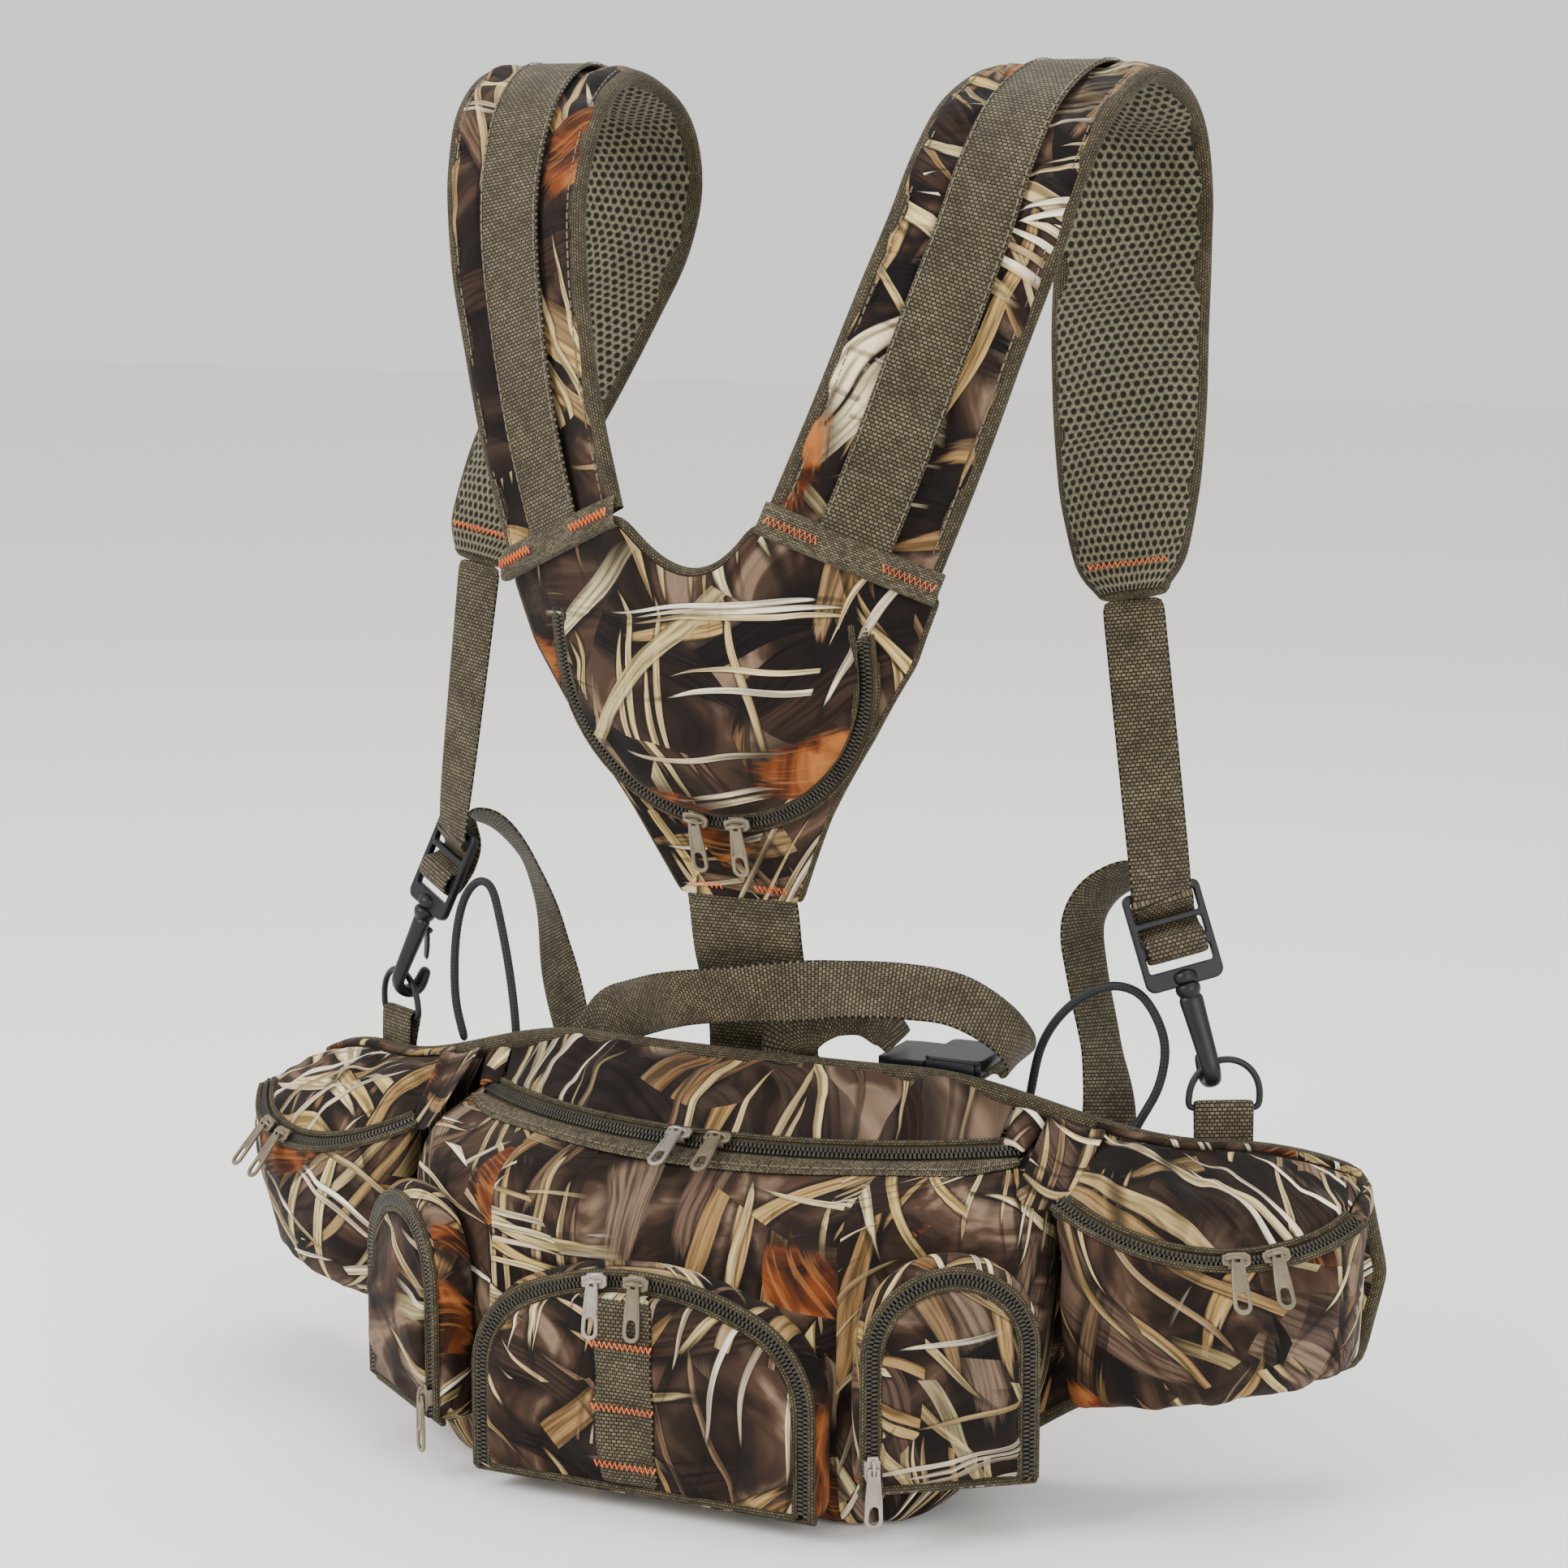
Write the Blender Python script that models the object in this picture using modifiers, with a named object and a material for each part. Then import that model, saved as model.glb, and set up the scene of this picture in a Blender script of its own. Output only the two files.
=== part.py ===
"""Hunting waist pack with a padded Y-back shoulder harness.

The wearer faces +Y, the pockets face -Y and +X is the wearer's right. The origin is the middle of
the flat base of the main bag, so the pack stands on Z = 0 with its harness upright. Metres.
"""

import math

import bmesh
import bpy
from mathutils import Matrix, Vector

# Webbing and fabric
WEB = 0.025  # width of the adjuster, belt and tab webbing
SPINE_WEB = 0.050  # width of the webbing between yoke and bag
WEB_THICK = 0.0016
WALL = 0.0025  # fabric with its foam, on the bags
DOOR = 0.0020  # fabric of the lids and pocket doors
PAD = 0.0090  # padded back panel and shoulder straps
GAP = 0.0004  # room between touching pieces
SEAM = 0.0013  # room between curved pieces that are sewn together

# Back panel, in plan and in height
BACK_Y = 0.036
BACK_WRAP = 2.735
BACK_POWER = 2.6
HALF_WIDTH = 0.246
TOP_Z = 0.166
WING_TOP_Z = 0.141

# Main bag
ARC_RADIUS = 0.191  # main zip, in plan
ARC_FRONT = -0.005
ZIP_Z = 0.138
ZIP_HALF = 0.0033  # from the zip's centre line to the fabric on each side
FRONT_Y = -0.043

# Slide fasteners
SLIDER_SIZE = (0.0062, 0.0110, 0.0030)  # across, along, out of the fabric
SLIDER_LIFT = 0.0018
PULL_LENGTH = 0.023
PULL_WIDTH = 0.0072
PULL_THICK = 0.0012

# Harness
STRAP_WIDTH = 0.070
STRAP_POINTS = (
    (0.0620, 0.0030, 0.3780),
    (0.0770, 0.0110, 0.4200),
    (0.0895, 0.0215, 0.4615),
    (0.0990, 0.0330, 0.4950),
    (0.1040, 0.0450, 0.5210),
    (0.1085, 0.0650, 0.5440),
    (0.1135, 0.0970, 0.5570),
    (0.1155, 0.1290, 0.5520),
    (0.1155, 0.1540, 0.5370),
    (0.1160, 0.1640, 0.5120),
    (0.1185, 0.1570, 0.4850),
    (0.1240, 0.1400, 0.4560),
    (0.1310, 0.1220, 0.4250),
    (0.1380, 0.1040, 0.3940),
    (0.1440, 0.0900, 0.3680),
    (0.1468, 0.0840, 0.3560),
)
YOKE_BOTTOM = 0.231
YOKE_Y = 0.033
YOKE_LEAN = 0.325
YOKE_WRAP = 3.3
HOOK_AXIS = Vector((0.36, -0.14, -0.92))
ADJUSTER_AT = Vector((0.1650, 0.0830, 0.2250))
D_RING_AT = Vector((0.1893, 0.0824, 0.1525))
TAB_FOOT = 0.1305  # the tab is sewn to the top edge of the back panel


# Scene and small helpers
for old in list(bpy.data.objects):
    bpy.data.objects.remove(old, do_unlink=True)
PARTS = bpy.data.collections.new("waist_pack_with_harness")
bpy.context.scene.collection.children.link(PARTS)


def material(name, colour, roughness, metallic=0.0):
    mat = bpy.data.materials.new(name)
    mat.use_nodes = True
    shader = mat.node_tree.nodes["Principled BSDF"]
    shader.inputs["Base Color"].default_value = (*colour, 1.0)
    shader.inputs["Roughness"].default_value = roughness
    shader.inputs["Metallic"].default_value = metallic
    return mat


CAMO = material("camouflage_cloth", (0.13, 0.08, 0.045), 0.85)
WEBBING = material("olive_webbing", (0.075, 0.062, 0.04), 0.8)
MESH = material("air_mesh", (0.09, 0.085, 0.06), 0.9)
PLASTIC = material("black_plastic", (0.01, 0.01, 0.012), 0.35)
CORD = material("black_cord", (0.012, 0.012, 0.012), 0.6)
STEEL = material("painted_wire", (0.015, 0.015, 0.018), 0.4)
ZINC = material("zip_metal", (0.27, 0.24, 0.2), 0.45, 0.8)


def keep(name, mesh, mat, origin=(0, 0, 0)):
    """Make a named part whose origin is at the given point; the mesh is in world metres."""
    mesh.transform(Matrix.Translation(-Vector(origin)))
    mesh.materials.clear()
    mesh.materials.append(mat)
    obj = bpy.data.objects.new(name, mesh)
    obj.location = origin
    PARTS.objects.link(obj)
    return obj


def facing(bm, toward=None):
    """Turn the faces to look along a direction or, with none given, away from the middle."""
    middle = sum((v.co for v in bm.verts), Vector()) / len(bm.verts)
    bm.normal_update()
    total = 0.0
    for face in bm.faces:
        look = toward if toward else face.calc_center_median() - middle
        total += face.calc_area() * face.normal.dot(look)
    if total < 0:
        bmesh.ops.reverse_faces(bm, faces=bm.faces)


def sheet(
    name, rows, thick, mat, closed=False, floor=False, toward=None, offset=-1, origin=(0, 0, 0)
):
    """A surface through rows of points, given its thickness; closed rows are rings."""
    bm = bmesh.new()
    made = [[bm.verts.new(p) for p in row] for row in rows]
    count = len(rows[0])
    for low, high in zip(made, made[1:]):
        for i in range(count if closed else count - 1):
            j = (i + 1) % count
            bm.faces.new((low[i], low[j], high[j], high[i]))
    if floor:
        bm.faces.new(reversed(made[0]))
    facing(bm, toward)
    mesh = bpy.data.meshes.new(name)
    bm.to_mesh(mesh)
    bm.free()
    obj = keep(name, mesh, mat, origin)
    shell = obj.modifiers.new("thickness", "SOLIDIFY")
    shell.thickness = thick
    shell.offset = offset
    shell.use_even_offset = True
    return obj


def tube(name, points, radius, mat, origin=(0, 0, 0), closed=False, resolution=2):
    curve = bpy.data.curves.new(name, "CURVE")
    curve.dimensions = "3D"
    curve.bevel_depth = radius
    curve.bevel_resolution = resolution
    curve.use_fill_caps = True
    spline = curve.splines.new("POLY")
    spline.points.add(len(points) - 1)
    for slot, point in zip(spline.points, points):
        slot.co = (*(Vector(point) - Vector(origin)), 1)
    spline.use_cyclic_u = closed
    curve.materials.append(mat)
    obj = bpy.data.objects.new(name, curve)
    obj.location = origin
    PARTS.objects.link(obj)
    return obj


def plate(name, outlines, thick, mat, axes, at):
    """A flat piece cut to outlines, the first outside and the rest holes, in a frame of two axes."""
    curve = bpy.data.curves.new(name, "CURVE")
    curve.dimensions = "2D"
    curve.fill_mode = "BOTH"
    curve.extrude = thick / 2
    for outline in outlines:
        spline = curve.splines.new("POLY")
        spline.points.add(len(outline) - 1)
        for slot, (x, y) in zip(spline.points, outline):
            slot.co = (x, y, 0, 1)
        spline.use_cyclic_u = True
    curve.materials.append(mat)
    obj = bpy.data.objects.new(name, curve)
    across, along = axes
    turn = Matrix((across, along, across.cross(along))).transposed().to_4x4()
    obj.matrix_world = Matrix.Translation(at) @ turn
    PARTS.objects.link(obj)
    return obj


def smooth_path(points, count):
    """Points evenly spread by number along a Catmull-Rom curve through the given ones."""
    knots = [Vector(p) for p in points]
    knots = [2 * knots[0] - knots[1]] + knots + [2 * knots[-1] - knots[-2]]
    spans = len(points) - 1
    path = []
    for k in range(count):
        place = k / (count - 1) * spans
        i = min(int(place), spans - 1)
        t = place - i
        a, b, c, d = knots[i : i + 4]
        bend = (2 * a - 5 * b + 4 * c - d) * t**2
        twist = (3 * b - a - 3 * c + d) * t**3
        path.append(0.5 * (2 * b + (c - a) * t + bend + twist))
    return path


def blended(values, u):
    """A value between listed ones, u from 0 to 1."""
    place = u * (len(values) - 1)
    i = min(int(place), len(values) - 2)
    return values[i] + (values[i + 1] - values[i]) * (place - i)


def ribbon(name, path, across, widths, thick, mat, columns=2, toward=None):
    """A flat band along a path; across lists width directions, made square to the path."""
    rows = []
    for k, point in enumerate(path):
        before = path[max(k - 1, 0)]
        after = path[min(k + 1, len(path) - 1)]
        ahead = (after - before).normalized()
        u = k / (len(path) - 1)
        side = blended(across, u)
        side = (side - side.dot(ahead) * ahead).normalized()
        half = blended(widths, u) / 2
        rows.append([point + side * half * (2 * i / (columns - 1) - 1) for i in range(columns)])
    return sheet(name, rows, thick, mat, offset=0, toward=toward)


def rounded_box(name, size, axes, at, mat, origin, rounding=0.0008):
    """A block with bevelled edges, its size along three axes, centred at a point."""
    bm = bmesh.new()
    bmesh.ops.create_cube(bm, size=1)
    turn = Matrix(axes).transposed().to_4x4()
    placed = Matrix.Translation(at) @ turn @ Matrix.Diagonal((*size, 1))
    bmesh.ops.transform(bm, matrix=placed, verts=bm.verts)
    bmesh.ops.recalc_face_normals(bm, faces=bm.faces)
    mesh = bpy.data.meshes.new(name)
    bm.to_mesh(mesh)
    bm.free()
    obj = keep(name, mesh, mat, origin)
    edge = obj.modifiers.new("rounding", "BEVEL")
    edge.width = rounding
    edge.segments = 1
    return obj


def mirrored(point, side):
    return Vector((point[0] * side, point[1], point[2]))


def ease(u):
    u = min(max(u, 0.0), 1.0)
    return u * u * (3 - 2 * u)


def spread(count):
    """Numbers from -1 to 1."""
    return [2 * i / (count - 1) - 1 for i in range(count)]


# Back panel: the padded sheet that everything on the pack is sewn to
def back_y(x):
    return BACK_Y + BACK_WRAP * abs(x) ** BACK_POWER


def top_z(x):
    fall = (TOP_Z - WING_TOP_Z) * ease((abs(x) - 0.075) / 0.115)
    tip = 0.016 * max(0.0, (abs(x) - 0.19) / 0.055) ** 2
    return TOP_Z - fall - tip


def bottom_z(x):
    return 0.006 + 0.034 * ease((abs(x) - 0.085) / 0.075) + 0.008 * max(0.0, (abs(x) - 0.16) / 0.085)


def make_back_panel():
    rows = []
    for v in range(5):
        row = []
        for u in spread(25):
            x = u * HALF_WIDTH * (1 - 0.03 * abs(v - 2) / 2)
            low = bottom_z(x)
            high = top_z(x) - 0.012
            row.append(Vector((x, back_y(x), low + (high - low) * v / 4)))
        rows.append(row)
    sheet("back_panel", rows, PAD, MESH, toward=Vector((0, -1, 0)))


# Main bag: a tub under the curved zip, and the lid behind the zip
def arc_y(x, radius=ARC_RADIUS):
    return ARC_FRONT + radius - math.sqrt(radius**2 - x**2)


def front_y(x, half, front, corner):
    """Flat in the middle, then a straight slope back to the corner at x = half."""
    flat = 0.076
    if abs(x) <= flat:
        return front + 0.002 * (x / flat) ** 2
    u = (abs(x) - flat) / (half - flat)
    return front + 0.002 + (corner - front - 0.002) * u


# Each level of the tub: half width, height, front, corner
LEVELS = (
    (0.098, 0.000, -0.034, -0.020),
    (0.112, 0.010, -0.040, -0.016),
    (0.132, 0.040, FRONT_Y, -0.003),
    (0.139, 0.095, FRONT_Y + 0.001, 0.004),
    (0.136, 0.124, FRONT_Y + 0.008, 0.008),
)
RIM_HALF = 0.122


def make_main_bag():
    rings = []
    for half, z, front, corner in LEVELS:
        ring = []
        for u in spread(17):
            ring.append(Vector((u * half, front_y(u * half, half, front, corner), z)))
        ends = min(half + 0.002, 0.139)
        ring += [Vector((-u * ends, back_y(u * ends) - SEAM, z)) for u in spread(11)]
        rings.append(ring)
    outer = ARC_RADIUS + ZIP_HALF
    rim = []
    for u in spread(17):
        x = u * RIM_HALF
        rim.append(Vector((x, ARC_FRONT + ARC_RADIUS - math.sqrt(outer**2 - x**2), ZIP_Z)))
    ends = RIM_HALF + 0.003
    rim += [Vector((-u * ends, back_y(u * ends) - SEAM, top_z(u * ends) - 0.015)) for u in spread(11)]
    rings.append(rim)
    sheet("main_bag", rings, WALL, CAMO, closed=True, floor=True)


MAIN_HINGE = Vector((0, 0.0440, 0.1640))


def make_main_lid():
    inner = ARC_RADIUS - ZIP_HALF
    rows = []
    for v in range(6):
        s = v / 5
        row = []
        for u in spread(17):
            x = u * (0.114 - 0.002 * s)
            back = Vector((x, back_y(x) + 0.003, top_z(x) - 0.002))
            front = Vector((x, ARC_FRONT + ARC_RADIUS - math.sqrt(inner**2 - x**2), ZIP_Z + 0.0015))
            dome = 0.004 * math.sin(math.pi * s) * (1 - u**4)
            row.append(back.lerp(front, s) + Vector((0, 0, dome)))
        rows.append(row)
    sheet("main_lid", rows, DOOR, CAMO, toward=Vector((0, 0, 1)), origin=MAIN_HINGE)


# Pockets on the front: a shallow tray sewn to the bag, and a door inside its arched zip
def arch(half, top, crown, corner):
    """Half outline of an arch in (across, up), from the top to the bottom of the straight side."""
    turn = math.asin((half - corner) / (crown - corner))
    points = []
    for k in range(5):
        angle = turn * k / 4
        points.append((crown * math.sin(angle), top - crown + crown * math.cos(angle)))
    middle = ((crown - corner) * math.sin(turn), top - crown + (crown - corner) * math.cos(turn))
    for k in range(1, 6):
        angle = turn + (math.pi / 2 - turn) * k / 5
        points.append((middle[0] + corner * math.sin(angle), middle[1] + corner * math.cos(angle)))
    return points


def arch_outline(half, top, crown, corner, low, shrink=0.0):
    """Closed outline, drawn in by shrink from all sides but the bottom."""
    side = arch(half - shrink, top - shrink, crown - shrink, corner - shrink)
    side.append((half - shrink, (side[-1][1] + low) / 2))
    side.append((half - shrink, low))
    return side + [(-x, z) for x, z in reversed(side[1:])]


def make_pocket(name, shape, low, axes, at, depth):
    """A tray: arched wall with a back, open to the front. axes are across and outward."""
    across, out = axes
    up = Vector((0, 0, 1))
    rings = []
    for d in (0, depth):
        rings.append([at + across * x + up * z + out * d for x, z in arch_outline(*shape, low)])
    sheet(name, rings, 0.0015, CAMO, closed=True, floor=True)


def make_door(name, shape, low, axes, at, bulge):
    """The domed panel inside a pocket's zip, hinged along its bottom edge."""
    across, out = axes
    up = Vector((0, 0, 1))
    foot = low + 0.003
    outline = arch_outline(*shape, foot, shrink=DOOR_SHRINK)
    centre = (0.0, (shape[1] + low) / 2)
    rings = []
    for scale, lift in ((1.0, 0.0), (0.9, 0.5), (0.7, 0.85), (0.35, 1.0)):
        ring = []
        for x, z in outline:
            height = max(centre[1] + (z - centre[1]) * scale, foot + (1 - scale) * 0.002)
            ring.append(at + across * x * scale + up * height + out * bulge * lift)
        rings.append(ring)
    hinge = at + up * foot
    sheet(name, rings[::-1], DOOR, CAMO, closed=True, floor=True, toward=out, origin=hinge)


DOOR_SHRINK = 2 * ZIP_HALF + 0.0008
CENTER_SHAPE = (0.074, 0.099, 0.120, 0.040)  # half width, top, crown radius, corner radius
CENTER_LOW = 0.008
CENTER_AT = Vector((0, FRONT_Y - 0.0015, 0))
CENTER_DEPTH = 0.013
SIDE_TURN = math.radians(37)
SIDE_SHAPE = (0.0345, 0.110, 0.0350, 0.0330)
SIDE_LOW = 0.022
SIDE_AT = Vector((0.1125, -0.0235, 0))
SIDE_DEPTH = 0.013


def side_axes(side):
    return Vector((math.cos(SIDE_TURN), side * math.sin(SIDE_TURN), 0)), Vector(
        (side * math.sin(SIDE_TURN), -math.cos(SIDE_TURN), 0)
    )


def make_front_pockets():
    front = (Vector((1, 0, 0)), Vector((0, -1, 0)))
    make_pocket("center_pocket", CENTER_SHAPE, CENTER_LOW, front, CENTER_AT, CENTER_DEPTH)
    door_at = CENTER_AT + front[1] * (CENTER_DEPTH + GAP)
    make_door("center_door", CENTER_SHAPE, CENTER_LOW, front, door_at, 0.006)
    for word, side in (("left", -1), ("right", 1)):
        axes = side_axes(side)
        at = mirrored(SIDE_AT, side)
        make_pocket(f"side_pocket_{word}", SIDE_SHAPE, SIDE_LOW, axes, at, SIDE_DEPTH)
        door_at = at + axes[1] * (SIDE_DEPTH + GAP)
        make_door(f"side_door_{word}", SIDE_SHAPE, SIDE_LOW, axes, door_at, 0.006)


# End pouches on the wings: a tub, and a half-round lid inside a curved zip
POUCH_IN = Vector((0.1440, 0.0170, 0.1250))
POUCH_OUT = Vector((0.2500, 0.0670, 0.1180))
POUCH_BULGE = 0.022
POUCH_DROP = 0.014


def pouch_arc(
    inset=0.0, count=11, low=POUCH_IN, high=POUCH_OUT, bulge=POUCH_BULGE, drop=POUCH_DROP, trim=1.0
):
    """Points on a circular arc from the inner to the outer end, leaning down at its middle."""
    chord = high - low
    along = chord.normalized()
    out = Vector((along.y, -along.x, 0)).normalized() * bulge + Vector((0, 0, -drop))
    rise = out.length
    out.normalize()
    radius = ((chord.length / 2) ** 2 + rise**2) / (2 * rise)
    middle = (low + high) / 2 - out * (radius - rise)
    half = math.asin(chord.length / 2 / radius)
    reach = radius - inset
    turns = [a * half * trim for a in spread(count)]
    points = [middle + reach * (out * math.cos(a) + along * math.sin(a)) for a in turns]
    return points, middle, along, out, radius, half


def pouch_back(u, lift=0.0):
    x = 0.1465 + (0.2450 - 0.1465) * u
    return Vector((x, back_y(x) - GAP, top_z(x) - lift))


POUCH_HINGE_IN = Vector((0.1500, 0.0560, 0.1400))
POUCH_HINGE_OUT = Vector((0.2350, 0.0930, 0.1300))


def make_end_pouch(word, side):
    count = 11
    rings = []
    for z_in, z_out, draw, bulge in (
        (0.042, 0.052, 0.012, 0.012),
        (0.050, 0.060, 0.004, 0.018),
        (0.092, 0.090, 0.000, 0.024),
    ):
        low = Vector((POUCH_IN.x + draw, POUCH_IN.y + draw * 0.4, z_in))
        high = Vector((POUCH_OUT.x - draw, POUCH_OUT.y - draw * 0.1, z_out))
        front = pouch_arc(0, count, low, high, bulge, 0)[0]
        back = []
        for k in range(7):
            spot = pouch_back(1 - k / 6)
            edge = (spot.x - 0.1465) / 0.0985
            back.append(Vector((spot.x, spot.y, z_in + (z_out - z_in) * edge)))
        rings.append(front + back)
    rings.append(pouch_arc(-ZIP_HALF, count)[0] + [pouch_back(1 - k / 6, 0.012) for k in range(7)])
    rings = [[mirrored(p, side) for p in ring] for ring in rings]
    sheet(f"end_pouch_{word}", rings, 0.0018, CAMO, closed=True, floor=True)
    front = pouch_arc(ZIP_HALF, count, trim=0.95)[0]
    rows = []
    for v in range(5):
        s = v / 4
        row = []
        for k, edge in enumerate(front):
            u = k / (count - 1)
            back = pouch_back(0.03 + 0.94 * u, 0.004) + Vector((0, -0.002, 0))
            dome = 0.004 * math.sin(math.pi * s) * math.sin(math.pi * u)
            spot = back.lerp(edge + Vector((0, 0, 0.0015)), s)
            row.append(mirrored(spot + Vector((0, 0, dome)), side))
        rows.append(row)
    hinge = mirrored((POUCH_HINGE_IN + POUCH_HINGE_OUT) / 2, side)
    sheet(f"end_lid_{word}", rows, DOOR, CAMO, toward=Vector((0, 0, 1)), origin=hinge)


# Slide fasteners: a slider over the zip and a pull tab hinged on it
def make_slider(name, at, along, out, hang):
    """The slider sits on the zip at a point; its pull hangs down from a hinge across its top."""
    along = along.normalized()
    out = (out - out.dot(along) * along).normalized()
    across = along.cross(out)
    width, length, height = SLIDER_SIZE
    body_at = at + out * (SLIDER_LIFT + height / 2)
    rounded_box(f"{name}_slider", (width, length, height), (across, along, out), body_at, ZINC, at)
    pivot = at + out * (SLIDER_LIFT + height + 0.0010)
    down = (hang - hang.dot(out) * out).normalized()
    flat = down.cross(out)
    corner = PULL_WIDTH / 2
    outline = [(-corner, -0.0005), (corner, -0.0005)]
    outline += arc_points(0, PULL_LENGTH - corner, corner, 0, 180, 6)
    hole = arc_points(0, PULL_LENGTH - corner, 0.0021, 0, 180, 4)
    hole += arc_points(0, PULL_LENGTH - corner - 0.0035, 0.0021, 180, 360, 4)
    plate(f"{name}_pull", [outline, hole], PULL_THICK, ZINC, (flat, down), pivot)


def arc_points(x, y, radius, start, end, steps):
    """Points of an arc, angles in degrees."""
    angles = [math.radians(start + (end - start) * k / steps) for k in range(steps + 1)]
    return [(x + radius * math.cos(a), y + radius * math.sin(a)) for a in angles]


def make_sliders():
    down = Vector((0, 0, -1))
    for word, x in (("left", -0.0085), ("right", 0.0085)):
        angle = math.asin(x / ARC_RADIUS)
        at = Vector((x, ARC_FRONT + ARC_RADIUS * (1 - math.cos(angle)), ZIP_Z))
        along = Vector((math.cos(angle), math.sin(angle), 0))
        make_slider(f"main_zip_{word}", at, along, Vector((0, -0.42, 0.91)), down)
    crown = CENTER_SHAPE[2] - ZIP_HALF
    middle = CENTER_AT + Vector((0, -CENTER_DEPTH - 0.001, CENTER_SHAPE[1] - CENTER_SHAPE[2]))
    for word, x in (("left", -0.0175), ("right", 0.0005)):
        angle = math.asin(x / crown)
        at = middle + Vector((crown * math.sin(angle), 0, crown * math.cos(angle)))
        along = Vector((math.cos(angle), 0, -math.sin(angle)))
        make_slider(f"center_zip_{word}", at, along, Vector((0, -1, 0.12)), down)
    for word, side in (("left", -1), ("right", 1)):
        across, out = side_axes(side)
        inner = -side * (SIDE_SHAPE[0] - ZIP_HALF)
        height = Vector((0, 0, SIDE_LOW + 0.012))
        at = mirrored(SIDE_AT, side) + across * inner + out * (SIDE_DEPTH + 0.001) + height
        make_slider(f"side_zip_{word}", at, down, out, down)
        points, middle, along, lean, radius, half = pouch_arc()
        for order, share in (("inner", 0.12), ("outer", 0.36)):
            a = share * half
            at = middle + radius * (lean * math.cos(a) + along * math.sin(a))
            run = along * math.cos(a) - lean * math.sin(a)
            out = Vector((lean.x * 0.9, lean.y * 0.9, 0.62))
            name = f"end_zip_{word}_{order}"
            make_slider(name, mirrored(at, side), mirrored(run, side), mirrored(out, side), down)
    for word, x in (("left", -0.0115), ("right", 0.0065)):
        angle = math.asin(x / YOKE_ARC)
        spot = Vector((x, 0, YOKE_ARC_Z - YOKE_ARC * math.cos(angle)))
        spot.y = yoke_y(spot.x, spot.z) - YOKE_DOOR_OUT - 0.001
        along = Vector((math.cos(angle), 0, math.sin(angle)))
        make_slider(f"yoke_zip_{word}", spot, along, Vector((0, -1, -YOKE_LEAN)), down)


# Yoke: the heart-shaped panel between the shoulders, with a flat zipped pocket
YOKE_ARC = 0.066
YOKE_ARC_Z = 0.331
YOKE_DOOR_TOP = 0.350
YOKE_DOOR_OUT = 0.0010


def yoke_y(x, z):
    rise = z - YOKE_BOTTOM
    return YOKE_Y - YOKE_LEAN * rise + YOKE_WRAP * rise / 0.15 * x * x


def yoke_half(v):
    return blended((0.0255, 0.0430, 0.0640, 0.0820, 0.0930), v)


def yoke_top(x):
    if abs(x) < 0.030:
        return 0.366 + 0.021 * (x / 0.030) ** 2
    return 0.387 - 0.025 * (abs(x) - 0.030) / 0.063


def make_yoke():
    rows = []
    for k in range(9):
        v = k / 8
        row = []
        for u in spread(15):
            x = u * yoke_half(v)
            z = YOKE_BOTTOM + (yoke_top(x) - YOKE_BOTTOM) * v
            row.append(Vector((x, yoke_y(x, z), z)))
        rows.append(row)
    sheet("yoke_panel", rows, 0.0040, CAMO, toward=Vector((0, -1, 0)))
    rows = []
    for k in range(11):
        if k < 3:
            z = YOKE_DOOR_TOP + (YOKE_ARC_Z - YOKE_DOOR_TOP) * k / 3
            half = YOKE_ARC - ZIP_HALF
        else:
            angle = math.radians(84) * (k - 3) / 7
            z = YOKE_ARC_Z - (YOKE_ARC - ZIP_HALF) * math.sin(angle)
            half = (YOKE_ARC - ZIP_HALF) * math.cos(angle)
        row = []
        for u in spread(13):
            x = u * half
            puff = 0.0075 * (1 - u**4) * math.sin(math.pi * min(k / 10, 1)) ** 0.7
            row.append(Vector((x, yoke_y(x, z) - YOKE_DOOR_OUT - DOOR - puff, z)))
        rows.append(row)
    sheet("yoke_door", rows, DOOR, CAMO, toward=Vector((0, -1, 0)), origin=YOKE_HINGE)


YOKE_HINGE = Vector((0, -0.0090, 0.3505))


# Harness straps, webbing and hardware, made for one side and mirrored for the other
STRAP_ACROSS = [Vector(v) for v in (
    (0.93, 0.36, -0.33), (0.97, 0.25, 0.0), (1, 0.1, 0), (1, -0.05, 0), (1, -0.05, 0), (1, 0.1, 0),
    (0.97, 0.14, 0.2),
)]
STRAP_WIDTHS = (
    STRAP_WIDTH, 0.069, 0.068, 0.068, 0.069, 0.070, 0.070, 0.070,
    0.069, 0.068, 0.067, 0.065, 0.062, 0.056, 0.044, 0.026,
)


def make_strap(word, side):
    path = [mirrored(p, side) for p in smooth_path(STRAP_POINTS, 31)]
    across = [mirrored(a, side) for a in STRAP_ACROSS]
    ribbon(f"shoulder_strap_{word}", path, across, STRAP_WIDTHS, PAD, CAMO, columns=4)


def hook_frame(side):
    """Along the hook, across it, and toward the wearer."""
    along = mirrored(HOOK_AXIS, side).normalized()
    across = Vector((math.cos(math.radians(28)), side * math.sin(math.radians(28)), 0))
    across = (across - across.dot(along) * along).normalized()
    inward = across.cross(along)
    if inward.y < 0:
        inward = -inward
    return along, across, inward


TAILS = {
    -1: (
        (-0.1608, 0.0925, 0.2410), (-0.1499, 0.0980, 0.2400), (-0.1384, 0.1040, 0.2250),
        (-0.1307, 0.1080, 0.2032), (-0.1223, 0.1020, 0.1795),
        (-0.1090, 0.0900, 0.1560), (-0.0980, 0.0820, 0.1250),
    ),
    1: (
        (0.1550, 0.0925, 0.2440), (0.1340, 0.0960, 0.2360), (0.1224, 0.1000, 0.2190),
        (0.1245, 0.1000, 0.1972), (0.1332, 0.0940, 0.1694),
        (0.1400, 0.0860, 0.1450), (0.1400, 0.0800, 0.1150),
    ),
}


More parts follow.
